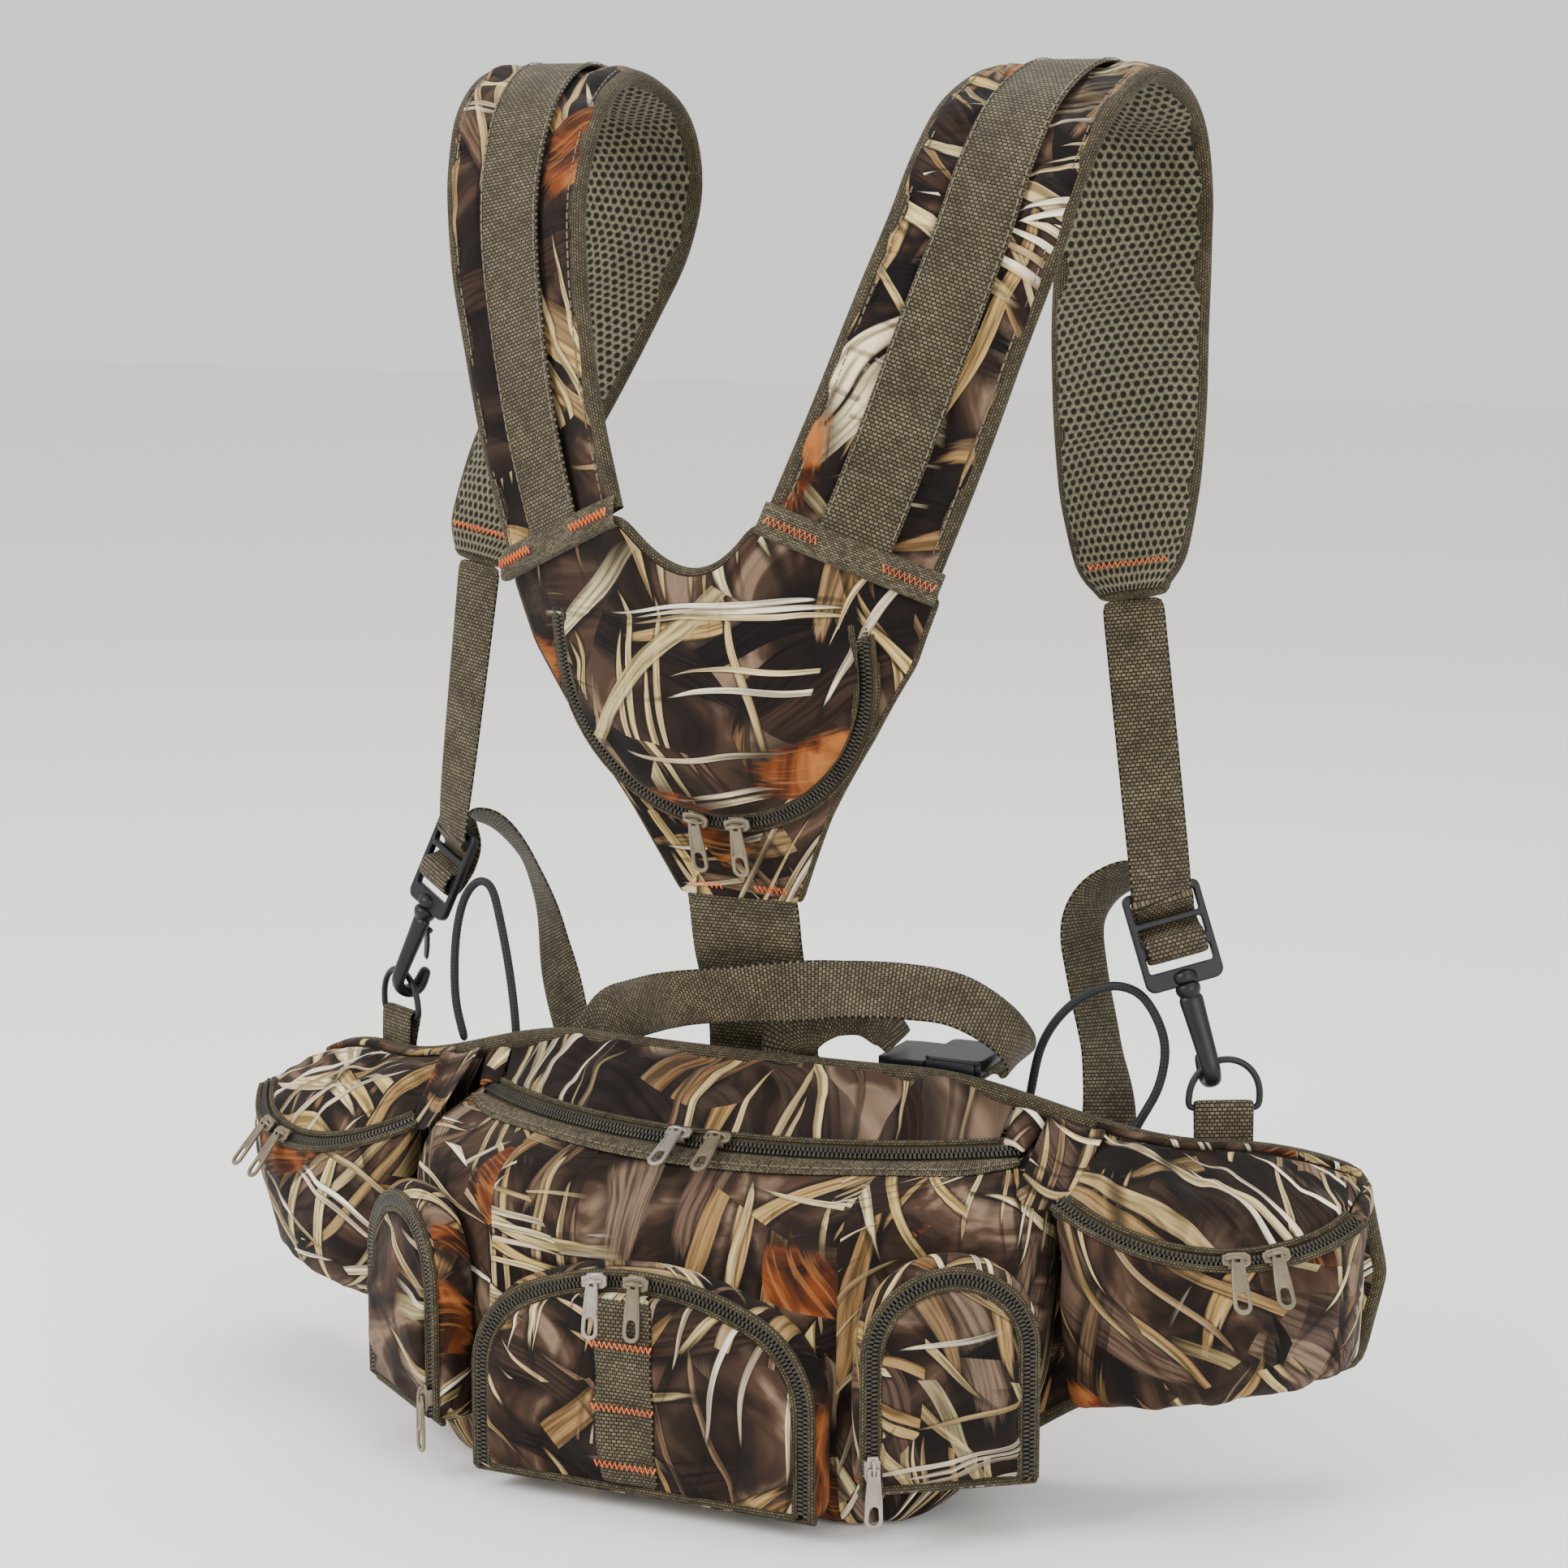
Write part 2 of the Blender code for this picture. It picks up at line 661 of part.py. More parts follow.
def make_strap_webbing(word, side):
    """From the pad down to the adjuster, round its bars and off as a loose tail."""
    along, across, inward = hook_frame(side)
    at = mirrored(ADJUSTER_AT, side)
    start = mirrored(Vector(STRAP_POINTS[-1]), side) + Vector((side * 0.0004, -0.0006, -0.0016))
    knots = [start]
    for share in (0.33, 0.66, 0.88):
        knots.append(start.lerp(at - along * 0.012 - inward * 0.0034, share))
    for down, inside in (
        (-0.0125, -0.0034), (-0.0090, -0.0030), (-0.0062, 0.0004), (-0.0036, 0.0034), (0.0, 0.0034),
        (0.0032, 0.0008), (0.0052, -0.0028), (0.0092, -0.0036), (0.0124, -0.0028), (0.0136, 0.0004),
        (0.0118, 0.0044), (0.0040, 0.0068), (-0.0080, 0.0078),
    ):
        knots.append(at + along * down + inward * inside)
    knots += [Vector(p) for p in TAILS[side]]
    path = smooth_path(knots, 64)
    start_across = Vector((math.cos(math.radians(14)), side * math.sin(math.radians(14)), 0.05))
    widths = [start_across, start_across.lerp(across, 0.5)] + [across] * 7
    if side < 0:
        widths += [Vector((0.70, -0.60, 0.4)), Vector((0.60, -0.75, 0.3)), Vector((0.90, -0.40, 0.10))]
        widths += [Vector((0.93, -0.35, 0))]
    else:
        widths += [Vector((0.75, 0.60, -0.3)), Vector((0.45, 0.90, 0.0)), Vector((0.30, 0.95, 0.10))]
        widths += [Vector((0.90, 0.40, 0))]
    ribbon(f"strap_webbing_{word}", path, widths, (WEB, WEB), WEB_THICK, WEBBING)


def make_adjuster(word, side):
    """Ladder frame with three bars over an open slot, and the eye that the hook swivels in."""
    along, across, _ = hook_frame(side)
    at = mirrored(ADJUSTER_AT, side)
    outer = []
    half = 0.0158
    for x, y, start in ((half - 0.003, 0.0215, 0), (-half + 0.003, 0.0215, 90)):
        outer += arc_points(x, y, 0.003, start, start + 90, 2)
    for x, y, start in ((-half + 0.003, -0.0122, 180), (half - 0.003, -0.0122, 270)):
        outer += arc_points(x, y, 0.003, start, start + 90, 2)
    slots = []
    for low, high in ((-0.0118, -0.0030), (-0.0004, 0.0066), (0.0110, 0.0176)):
        slots.append([(-0.0132, low), (-0.0132, high), (0.0132, high), (0.0132, low)])
    plate(f"adjuster_{word}", [outer] + slots, 0.0026, PLASTIC, (across, along), at)


def make_hook(word, side):
    along, across, inward = hook_frame(side)
    top = mirrored(ADJUSTER_AT, side) + along * 0.0252
    bend = 0.0060
    shaft = [top + along * d for d in (0.0, 0.004, 0.010, 0.018, 0.026, 0.033)]
    base = shaft[-1] + inward * bend
    for a in (0.52, 1.05, 1.57, 2.09, 2.62, 3.14):
        shaft.append(base + bend * (-inward * math.cos(a) + along * math.sin(a)))
    shaft += [shaft[-1] - along * d for d in (0.003, 0.006)]
    tube(f"snap_hook_{word}", shaft, 0.0028, PLASTIC, origin=top, resolution=2)
    foot = top + along * 0.0085 + inward * 0.0040
    tip = foot + along * 0.0145 + inward * 0.0058
    mid = (foot + tip) / 2
    run = (tip - foot).normalized()
    side_way = run.cross(across)
    size = (0.0040, 0.0150, 0.0014)
    rounded_box(f"hook_gate_{word}", size, (across, run, side_way), mid, PLASTIC, foot, 0.0004)


def wing_axes(side):
    """Across the wing and outward from it."""
    turn = math.radians(28)
    across = Vector((math.cos(turn), side * math.sin(turn), 0))
    return across, Vector((side * math.sin(turn), -math.cos(turn), 0))


def make_d_ring(word, side):
    """A wire D standing in a folded webbing tab sewn behind the end pouch."""
    across, out = wing_axes(side)
    bar = mirrored(D_RING_AT, side)
    tilt = (Vector((side * 0.05, 0, 1))).normalized()
    half = 0.0142
    points = [bar + across * x for x in (-half, -half / 3, half / 3, half)]
    points += [bar + across * half + tilt * 0.005]
    for k in range(1, 8):
        a = math.pi * k / 8
        points.append(bar + tilt * 0.005 + across * half * math.cos(a) + tilt * 0.0152 * math.sin(a))
    points += [bar - across * half + tilt * 0.005]
    tube(f"d_ring_{word}", points, 0.0015, STEEL, origin=bar, closed=True, resolution=1)
    foot = TAB_FOOT - bar.z
    loop = [bar + out * 0.0030 + Vector((0, 0, foot)), bar + out * 0.0032 + Vector((0, 0, foot / 2))]
    for k in range(5):
        a = math.pi * k / 4
        loop.append(bar + out * 0.0028 * math.cos(a) + Vector((0, 0, 0.0028 * math.sin(a))))
    loop += [bar + out * 0.0002 + Vector((0, 0, foot / 2)), bar + out * 0.0006 + Vector((0, 0, foot))]
    ribbon(f"d_ring_tab_{word}", loop, [across, across], (WEB - 0.001, WEB - 0.001), WEB_THICK, WEBBING)


# Elastic tie loops standing at the back edge
LOOPS = {
    "left": (
        (-0.1500, 0.0690, 0.1480), (-0.1548, 0.0700, 0.1660),
        (-0.1550, 0.0710, 0.1900), (-0.1520, 0.0730, 0.2080),
        (-0.1455, 0.0740, 0.2170), (-0.1385, 0.0740, 0.2150),
        (-0.1335, 0.0730, 0.2000), (-0.1285, 0.0710, 0.1800),
        (-0.1245, 0.0680, 0.1620), (-0.1215, 0.0645, 0.1450),
    ),
    "right": (
        (0.1080, 0.0790, 0.1480), (0.1120, 0.0800, 0.1690),
        (0.1205, 0.0790, 0.1836), (0.1320, 0.0790, 0.1938),
        (0.1447, 0.0790, 0.1987), (0.1564, 0.0800, 0.1943),
        (0.1649, 0.0800, 0.1781), (0.1635, 0.0790, 0.1601),
        (0.1560, 0.0760, 0.1440), (0.1500, 0.0705, 0.1300),
    ),
}


def make_elastic_loops():
    for word, route in LOOPS.items():
        tube(f"elastic_loop_{word}", smooth_path(route, 30), 0.0020, CORD)


# Spine webbing and the waist belt, which is folded up and clipped behind the top edge
def make_spine():
    path = smooth_path(
        [
            (0, 0.0352, 0.2298), (0, 0.0410, 0.2050), (0, 0.0500, 0.1850),
            (0, 0.0545, 0.1680), (0, 0.0535, 0.1450),
            (0, 0.0488, 0.1200), (0, 0.0475, 0.0900),
        ],
        15,
    )
    ribbon("spine_webbing", path, [Vector((1, 0, 0))] * 2, (SPINE_WEB, SPINE_WEB), WEB_THICK, WEBBING)


def behind(x, z, off=0.0022):
    """A point on the wearer's side of the back panel, further off where the wings turn."""
    return Vector((x, back_y(x) + PAD + off + 0.012 * abs(x), z))


def make_belt():
    sewn = ((-0.226, 0.088), (-0.190, 0.090), (-0.150, 0.096), (-0.115, 0.112))
    left = [behind(x, z, 0.0024) for x, z in sewn]
    left += [Vector(p) for p in (
        (-0.0930, 0.0620, 0.1420), (-0.0778, 0.0610, 0.1651),
        (-0.0568, 0.0510, 0.1754), (-0.0285, 0.0345, 0.1858),
        (0.0012, 0.0295, 0.1915), (0.0316, 0.0310, 0.1958),
        (0.0525, 0.0330, 0.1980), (0.0724, 0.0370, 0.1980),
        (0.0913, 0.0420, 0.1952), (0.1060, 0.0500, 0.1850),
        (0.1110, 0.0580, 0.1745), (0.1085, 0.0640, 0.1668),
        (0.0993, 0.0655, 0.1652),
    )]
    across = [Vector(v) for v in (
        (0, 0, 1), (0, 0, 1), (0.2, 0.05, 1), (0.2, 0.1, 1), (0, -0.3, 0.9), (0, -0.2, 0.9), (0, 0.5, 0.8),
        (0.1, 0.6, 0.7), (0.1, 0.8, 0.5), (0.1, 0.95, 0.2), (0, 1, 0.1),
    )]
    ribbon("belt_webbing_left", smooth_path(left, 46), across, (WEB, WEB), WEB_THICK, WEBBING)
    right = [Vector(p) for p in (
        (0.0560, 0.0655, 0.1692), (0.0500, 0.0640, 0.1760),
        (0.0440, 0.0560, 0.1850), (0.0350, 0.0445, 0.1862),
        (0.0240, 0.0430, 0.1800), (0.0165, 0.0445, 0.1700),
        (0.0170, 0.0475, 0.1600), (0.0270, 0.0488, 0.1490),
    )]
    right += [behind(x, z, 0.0028) for x, z in (
        (0.050, 0.136), (0.064, 0.120), (0.080, 0.110), (0.110, 0.098),
        (0.140, 0.092), (0.175, 0.088), (0.200, 0.086),
        (0.226, 0.084),
    )]
    across = [Vector(v) for v in (
        (0, 1, 0.2), (0, 0.9, 0.4), (0, 0.5, 0.85), (-0.1, 0, 1),
        (-0.6, 0, 0.75), (-0.95, 0, 0.3), (-0.95, 0, -0.3),
        (-0.6, 0, -0.8), (-0.4, 0, -0.9), (-0.2, 0, -1),
        (0, 0, -1), (0, 0, -1), (0, 0, -1), (0, 0, -1), (0, 0, -1),
        (0, 0, -1),
    )]
    ribbon("belt_webbing_right", smooth_path(right, 46), across, (WEB, WEB), WEB_THICK, WEBBING)


BUCKLE_Y = 0.0655
BUCKLE_Z = 0.1650


def make_buckle():
    """Side-release buckle: the socket takes the plug's two sprung arms."""
    axes = (Vector((1, 0, 0)), Vector((0, 1, 0)))
    at = Vector((0, BUCKLE_Y, BUCKLE_Z))
    bm = bmesh.new()
    outer = rectangle_ring(0.0735, 0.0980, 0.0165, 0.0042)
    inner = rectangle_ring(0.0735, 0.0905, 0.0145, 0.0024)
    made = [[bm.verts.new(at + p) for p in ring] for ring in (outer[1], outer[0], inner[0], inner[1])]
    for low, high in zip(made, made[1:]):
        for i in range(4):
            bm.faces.new((low[i], low[(i + 1) % 4], high[(i + 1) % 4], high[i]))
    bm.faces.new(made[0])
    bm.faces.new(made[3])
    bmesh.ops.recalc_face_normals(bm, faces=bm.faces)
    mesh = bpy.data.meshes.new("buckle_socket")
    bm.to_mesh(mesh)
    bm.free()
    keep("buckle_socket", mesh, PLASTIC, at + Vector((0.085, 0, 0)))
    outline = [
        (0.0530, -0.0140), (0.0600, -0.0155), (0.0725, -0.0155),
        (0.0740, -0.0135), (0.0850, -0.0130), (0.0860, -0.0085),
        (0.0750, -0.0090), (0.0750, -0.0030), (0.0840, -0.0020),
        (0.0840, 0.0020), (0.0750, 0.0030), (0.0750, 0.0090),
        (0.0860, 0.0085), (0.0850, 0.0130), (0.0740, 0.0135),
        (0.0725, 0.0155), (0.0600, 0.0155), (0.0530, 0.0140),
    ]
    plate("buckle_plug", [outline], 0.0036, PLASTIC, axes, at)


def rectangle_ring(near, far, half, thick):
    """Four corners at each end of a box that runs along X."""
    corners = ((-half, -thick), (half, -thick), (half, thick), (-half, thick))
    return [[Vector((x, y, z)) for y, z in corners] for x in (near, far)]


def build():
    make_back_panel()
    make_main_bag()
    make_main_lid()
    make_front_pockets()
    make_yoke()
    make_spine()
    make_sliders()
    make_elastic_loops()
    make_belt()
    make_buckle()
    for word, side in (("left", -1), ("right", 1)):
        make_end_pouch(word, side)
        make_strap(word, side)
        make_strap_webbing(word, side)
        make_adjuster(word, side)
        make_hook(word, side)
        make_d_ring(word, side)


build()
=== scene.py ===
# %% [markdown]
# # A camouflage waist pack on a padded shoulder harness
# The model comes in two halves. The frame, loaded below, holds the true sizes, the joints and
# every solid. This script dresses that frame: it sews cloth, webbing and zips around it and paints
# them. We start by loading the frame and keeping its box, because cloth may only stand a little
# proud of it.

import math

import bmesh
import bpy
from mathutils import Matrix, Vector, noise


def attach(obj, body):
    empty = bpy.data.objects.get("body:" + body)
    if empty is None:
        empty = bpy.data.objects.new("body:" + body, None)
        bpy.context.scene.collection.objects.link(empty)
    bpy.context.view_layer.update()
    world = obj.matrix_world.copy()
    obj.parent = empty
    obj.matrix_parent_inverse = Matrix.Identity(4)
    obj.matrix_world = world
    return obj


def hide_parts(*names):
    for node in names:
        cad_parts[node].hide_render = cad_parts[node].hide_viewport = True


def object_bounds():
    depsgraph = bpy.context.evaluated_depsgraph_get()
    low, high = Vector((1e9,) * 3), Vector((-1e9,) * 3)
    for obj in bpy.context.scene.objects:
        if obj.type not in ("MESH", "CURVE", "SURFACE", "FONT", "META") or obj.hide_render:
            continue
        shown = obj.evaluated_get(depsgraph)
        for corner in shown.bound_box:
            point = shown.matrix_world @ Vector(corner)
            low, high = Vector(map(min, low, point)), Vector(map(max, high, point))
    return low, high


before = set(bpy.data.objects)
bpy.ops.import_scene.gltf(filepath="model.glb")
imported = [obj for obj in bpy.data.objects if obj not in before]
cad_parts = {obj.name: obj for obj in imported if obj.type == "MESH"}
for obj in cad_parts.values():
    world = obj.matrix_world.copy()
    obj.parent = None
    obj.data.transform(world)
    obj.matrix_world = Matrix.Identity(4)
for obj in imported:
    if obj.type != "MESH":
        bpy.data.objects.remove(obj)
CAD_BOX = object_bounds()
SIDES = (("left", -1), ("right", 1))
UP = Vector((0, 0, 1))
AHEAD = Vector((0, 1, 0))  # the way the wearer faces
RIGHT = Vector((1, 0, 0))

# %% [markdown]
# ## Camera, floor and light
# A pack like this is shown as if somebody wore it: the lens stands a little above the bag, to the
# right of its middle, and far enough back that the harness isn't distorted. The light is a soft
# box on each side and one above, so that dark cloth still shows its print.

# %% Camera
EYE = Vector((0.6338, -1.2846, 0.5350))
LENS_BACK = Vector((0.4162, -0.8925, 0.1736)).normalized()
LENS_RIGHT = Vector((0.9063, 0.4226, 0.0)).normalized()

camera_data = bpy.data.cameras.new("studio_camera")
camera_data.sensor_width = 36.0
camera_data.lens = 84.9
camera = bpy.data.objects.new("studio_camera", camera_data)
bpy.context.scene.collection.objects.link(camera)
turn = Matrix((LENS_RIGHT, LENS_BACK.cross(LENS_RIGHT), LENS_BACK)).transposed().to_4x4()
camera.matrix_world = Matrix.Translation(EYE) @ turn
bpy.context.scene.camera = camera
print("camera at", tuple(round(c, 3) for c in EYE))


# %% Colour and node helpers
def tint(code):
    """An sRGB hex colour as linear values with alpha."""
    parts = [int(code[i : i + 2], 16) / 255 for i in (1, 3, 5)]
    parts = [c / 12.92 if c <= 0.04045 else ((c + 0.055) / 1.055) ** 2.4 for c in parts]
    return (*parts, 1.0)


def add(tree, kind, inputs=None, out=0, stops=None, **settings):
    """Add one shader node: an input that is a socket is linked, any other set. Returns an output.

    stops are the (place, colour) pairs of a colour ramp.
    """
    made = tree.nodes.new("ShaderNode" + kind)
    for key, value in settings.items():
        setattr(made, key, value)
    for place, colour in stops or ():
        elements = made.color_ramp.elements
        element = elements.new(place)
        element.color = tint(colour) if isinstance(colour, str) else (colour, colour, colour, 1.0)
    if stops:
        made.color_ramp.elements.remove(made.color_ramp.elements[0])
        made.color_ramp.elements.remove(made.color_ramp.elements[-1])
    for key, value in (inputs or {}).items():
        if isinstance(value, bpy.types.NodeSocket):
            tree.links.new(value, made.inputs[key])
        else:
            made.inputs[key].default_value = value
    return made.outputs[out]


def new_material(name, roughness, metallic=0.0, **sockets):
    """A material with its own Principled shader; returns it with its node tree and shader."""
    material = bpy.data.materials.new(name)
    material.use_nodes = True
    shader = material.node_tree.nodes["Principled BSDF"]
    shader.inputs["Roughness"].default_value = roughness
    shader.inputs["Metallic"].default_value = metallic
    for key, value in sockets.items():
        shader.inputs[key.replace("_", " ")].default_value = value
    return material, material.node_tree, shader


# %% Floor and soft boxes
floor_data = bpy.data.meshes.new("studio_floor")
floor_data.from_pydata([(-6, -6, 0), (6, -6, 0), (6, 6, 0), (-6, 6, 0)], [], [(0, 1, 2, 3)])
studio_floor = bpy.data.objects.new("studio_floor", floor_data)
studio_floor.location.z = CAD_BOX[0][2] - 0.0006
bpy.context.scene.collection.objects.link(studio_floor)
floor_paint, _, floor_shader = new_material("matt_white_floor", 0.9)
floor_shader.inputs["Base Color"].default_value = tint("#F7F6F4")
floor_data.materials.append(floor_paint)

world = bpy.data.worlds.new("studio_air")
bpy.context.scene.world = world
world.use_nodes = True
world.node_tree.nodes["Background"].inputs["Color"].default_value = tint("#FBFAF8")
world.node_tree.nodes["Background"].inputs["Strength"].default_value = 1.15

AIM = Vector((0.0, 0.03, 0.25))
for label, place, size, power in (
    ("key_soft_box", (-1.3, -1.7, 1.7), 1.1, 62.0),
    ("fill_soft_box", (1.9, -1.1, 0.9), 1.4, 30.0),
    ("top_soft_box", (0.1, 0.4, 2.0), 1.2, 24.0),
):
    lamp = bpy.data.lights.new(label, "AREA")
    lamp.size = size
    lamp.energy = power
    holder = bpy.data.objects.new(label, lamp)
    holder.location = place
    holder.rotation_euler = (AIM - Vector(place)).to_track_quat("-Z", "Y").to_euler()
    bpy.context.scene.collection.objects.link(holder)
print("stage ready")

# %% [markdown]
# ## Printed polyester: the camouflage
# The cloth is a plain-woven polyester with a marsh print: dry reeds and grass, pale against dark
# mud, with a few rust leaves. A printer lays such a picture down in layers, so the material does
# the same. Each layer scatters long ellipses (a Voronoi pattern stretched to a reed's length and
# width in millimetres), turns them differently from one patch of reeds to the next, bends them
# with noise, and puts its own shadow under itself. The UV map of every piece is in metres of
# cloth, so that the reeds keep their size on all of them.


# %% Reeds: one layer of the print
def reeds(tree, cloth, degrees, length, width, bend, seed):
    """A layer of stretched cells: distance to a reed's middle, two random values, its fibres."""
    sway = add(
        tree, "TexNoise", {"Vector": cloth, "Scale": 11.0, "Detail": 1.0, "W": seed}, "Color",
        noise_dimensions="4D"
    )
    push = add(tree, "VectorMath", {0: sway, 1: (0.5, 0.5, 0.5)}, operation="SUBTRACT")
    pushed = add(
        tree, "VectorMath", {0: push, 1: (bend, bend, 0.0), 2: cloth}, operation="MULTIPLY_ADD"
    )
    apart = add(tree, "VectorMath", {0: pushed, 1: (seed * 0.31, seed * 0.17, 0.0)})
    clump = add(
        tree, "TexVoronoi", {"Vector": apart, "Scale": 4.6}, "Color", voronoi_dimensions="2D"
    )
    lean = add(tree, "SeparateColor", {"Color": clump}, "Red")
    angle = add(
        tree, "Math", {0: lean, 1: math.radians(95), 2: math.radians(degrees - 48)},
        operation="MULTIPLY_ADD"
    )
    turned = add(tree, "VectorRotate", {"Vector": apart, "Angle": angle}, rotation_type="Z_AXIS")
    stretched = add(
        tree, "VectorMath", {0: turned, 1: (1 / length, 1 / width, 0.0)}, operation="MULTIPLY"
    )
    away = add(
        tree, "TexVoronoi", {"Vector": stretched, "Scale": 1.0}, "Distance", voronoi_dimensions="2D"
    )
    cell = add(
        tree, "TexVoronoi", {"Vector": stretched, "Scale": 1.0}, "Color", voronoi_dimensions="2D"
    )
    grain = add(tree, "VectorMath", {0: turned, 1: (24.0, 560.0, 0.0)}, operation="MULTIPLY")
    fibres = add(
        tree, "TexNoise", {"Vector": grain, "Scale": 1.0, "Detail": 3.0}, noise_dimensions="2D"
    )
    chance = add(tree, "SeparateColor", {"Color": cell}, "Red")
    tone = add(tree, "SeparateColor", {"Color": cell}, "Green")
    return away, chance, tone, fibres


# %% The camouflage cloth
# Each row: angle, reed length and width (m), bend (m), share of cells with a reed, shadow, colours
PRINT_LAYERS = (
    (62, 0.150, 0.0300, 0.050, 0.46, 0.55, ("#4A3A30", "#7E6B5A", "#5A473A")),
    (15, 0.150, 0.0240, 0.045, 0.50, 0.75, ("#0D0807", "#1E1410", "#33241C")),
    (118, 0.140, 0.0130, 0.045, 0.30, 0.80, ("#7A5C3B", "#B3955F", "#5F4A39")),
    (70, 0.110, 0.0046, 0.040, 0.34, 0.70, ("#8C7148", "#C9B582", "#6B5540")),
    (40, 0.170, 0.0085, 0.045, 0.24, 0.90, ("#BFA568", "#E8D9A6", "#8F754C")),
    (84, 0.240, 0.0120, 0.060, 0.19, 0.95, ("#D2BE86", "#F3E8C2", "#B0945F")),
    (150, 0.130, 0.0036, 0.034, 0.27, 0.65, ("#CDBC8C", "#FAF4DE", "#A68F66")),
)
FIRST_IN_PATCHES = 4  # from this row on, the pale reeds grow in patches only


def laid_on(tree, under, paint, layer, here, shadow, halo, rag, edge, curve):
    """Lay paint over the colour under it: first the layer's shadow, then its own ragged shape.

    shadow is a colour and a strength, halo and edge are the distances where they start and end.
    """
    away, fibres = layer
    colour = under
    ragged = add(tree, "Math", {0: fibres, 1: rag, 2: away}, operation="MULTIPLY_ADD")
    for distance, (near, far), most, over in (
        (away, halo, shadow[1], tint(shadow[0])), (ragged, edge, 1.0, paint),
    ):
        spread_out = {"Value": distance, "From Min": near, "From Max": far, "To Max": most}
        share = add(tree, "MapRange", spread_out, interpolation_type=curve)
        share = add(tree, "Math", {0: share, 1: here}, operation="MULTIPLY")
        colour = add(tree, "Mix", {0: share, 6: colour, 7: over}, 2, data_type="RGBA")
    return colour


def printed_camouflage():
    """Printed plain-weave polyester: matt, slightly soft at grazing angles, with a faint weave."""
    material, tree, shader = new_material(
        "printed_polyester_marsh_camouflage", 0.80, Sheen_Weight=0.03, Sheen_Roughness=0.5,
        Specular_IOR_Level=0.14,
    )
    cloth = add(tree, "UVMap", out="UV")
    clouds = {"Vector": cloth, "Scale": 15.0, "Detail": 4.0, "Distortion": 1.4}
    wash = add(tree, "TexNoise", clouds, noise_dimensions="2D")
    mud = [
        (0.30, "#0C0706"), (0.45, "#22160F"), (0.56, "#423024"), (0.65, "#76614F"),
        (0.75, "#35261D")
    ]
    colour = add(tree, "ValToRGB", {"Fac": wash}, stops=mud)
    patch = add(
        tree, "TexNoise", {"Vector": cloth, "Scale": 6.0, "Detail": 1.0}, noise_dimensions="2D"
    )
    grown = add(tree, "MapRange", {"Value": patch, "From Min": 0.40, "From Max": 0.50})
    pale = [(0.36, "#5B4A38"), (0.50, "#D8D0C4"), (0.62, "#FFFFFF")]
    for step, (degrees, length, width, bend, share, shade, tones) in enumerate(PRINT_LAYERS):
        seed = 3.1 * step + 1.7
        away, chance, tone, fibres = reeds(tree, cloth, degrees, length, width, bend, seed)
        few = {"Value": chance, "From Min": share + 0.01, "From Max": share - 0.01}
        here = add(tree, "MapRange", few, interpolation_type="SMOOTHSTEP")
        if step >= FIRST_IN_PATCHES:
            here = add(tree, "Math", {0: here, 1: grown}, operation="MULTIPLY")
        paint = add(tree, "ValToRGB", {"Fac": tone}, stops=list(zip((0.1, 0.5, 0.9), tones)))
        grain = add(tree, "ValToRGB", {"Fac": fibres}, stops=pale)
        paint = add(
            tree, "Mix", {0: 0.75, 6: paint, 7: grain}, 2, data_type="RGBA", blend_type="MULTIPLY"
        )
        colour = laid_on(
            tree, colour, paint, (away, fibres), here, ("#0B0706", shade), (0.64, 0.36), 0.18,
            (0.47, 0.42), "SMOOTHSTEP",
        )
    leaf, chance, _, fibres = reeds(tree, cloth, 30, 0.072, 0.050, 0.045, 31.0)
    clouds = {"Vector": cloth, "Scale": 38.0, "Detail": 3.0, "Distortion": 0.8}
    blush = add(tree, "TexNoise", clouds, noise_dimensions="2D")
    rusts = [(0.34, "#1A0D07"), (0.46, "#3E1D0C"), (0.57, "#683414"), (0.70, "#935A2C")]
    rust = add(tree, "ValToRGB", {"Fac": blush}, stops=rusts)
    vein = add(
        tree, "MapRange", {"Value": fibres, "From Min": 0.52, "From Max": 0.62, "To Max": 0.35}
    )
    rust = add(tree, "Mix", {0: vein, 6: rust, 7: tint("#A36A38")}, 2, data_type="RGBA")
    here = add(tree, "MapRange", {"Value": chance, "From Min": 0.125, "From Max": 0.115})
    colour = laid_on(
        tree, colour, rust, (leaf, fibres), here, ("#1A100B", 0.8), (0.62, 0.40), 0.26,
        (0.52, 0.46), "LINEAR"
    )
    tree.links.new(colour, shader.inputs["Base Color"])
    # Threads are 0.3 mm apart on the real cloth; 0.9 mm is the finest that shows here.
    threads = add(tree, "TexChecker", {"Vector": cloth, "Scale": 1 / 0.0009}, "Fac")
    clouds = {"Vector": cloth, "Scale": 70.0, "Detail": 5.0, "Distortion": 0.6}
    crumple = add(tree, "TexNoise", clouds, noise_dimensions="2D")
    height = add(tree, "Math", {0: threads, 1: 0.04, 2: crumple}, operation="MULTIPLY_ADD")
    bump = add(tree, "Bump", {"Height": height, "Strength": 0.5, "Distance": 0.0020})
    tree.links.new(bump, shader.inputs["Normal"])
    return material


CAMO = printed_camouflage()
print("camouflage layers", len(PRINT_LAYERS))

# %% [markdown]
# ## Woven tapes
# Webbing, grosgrain band and zip tape are all woven narrow, so that their yarns show as short
# floats laid like bricks. One function makes the three: it lays the bricks in millimetres, gives
# each float a slightly different shade, and lets the gaps between them sink in. Nylon yarn has a
# soft gloss.


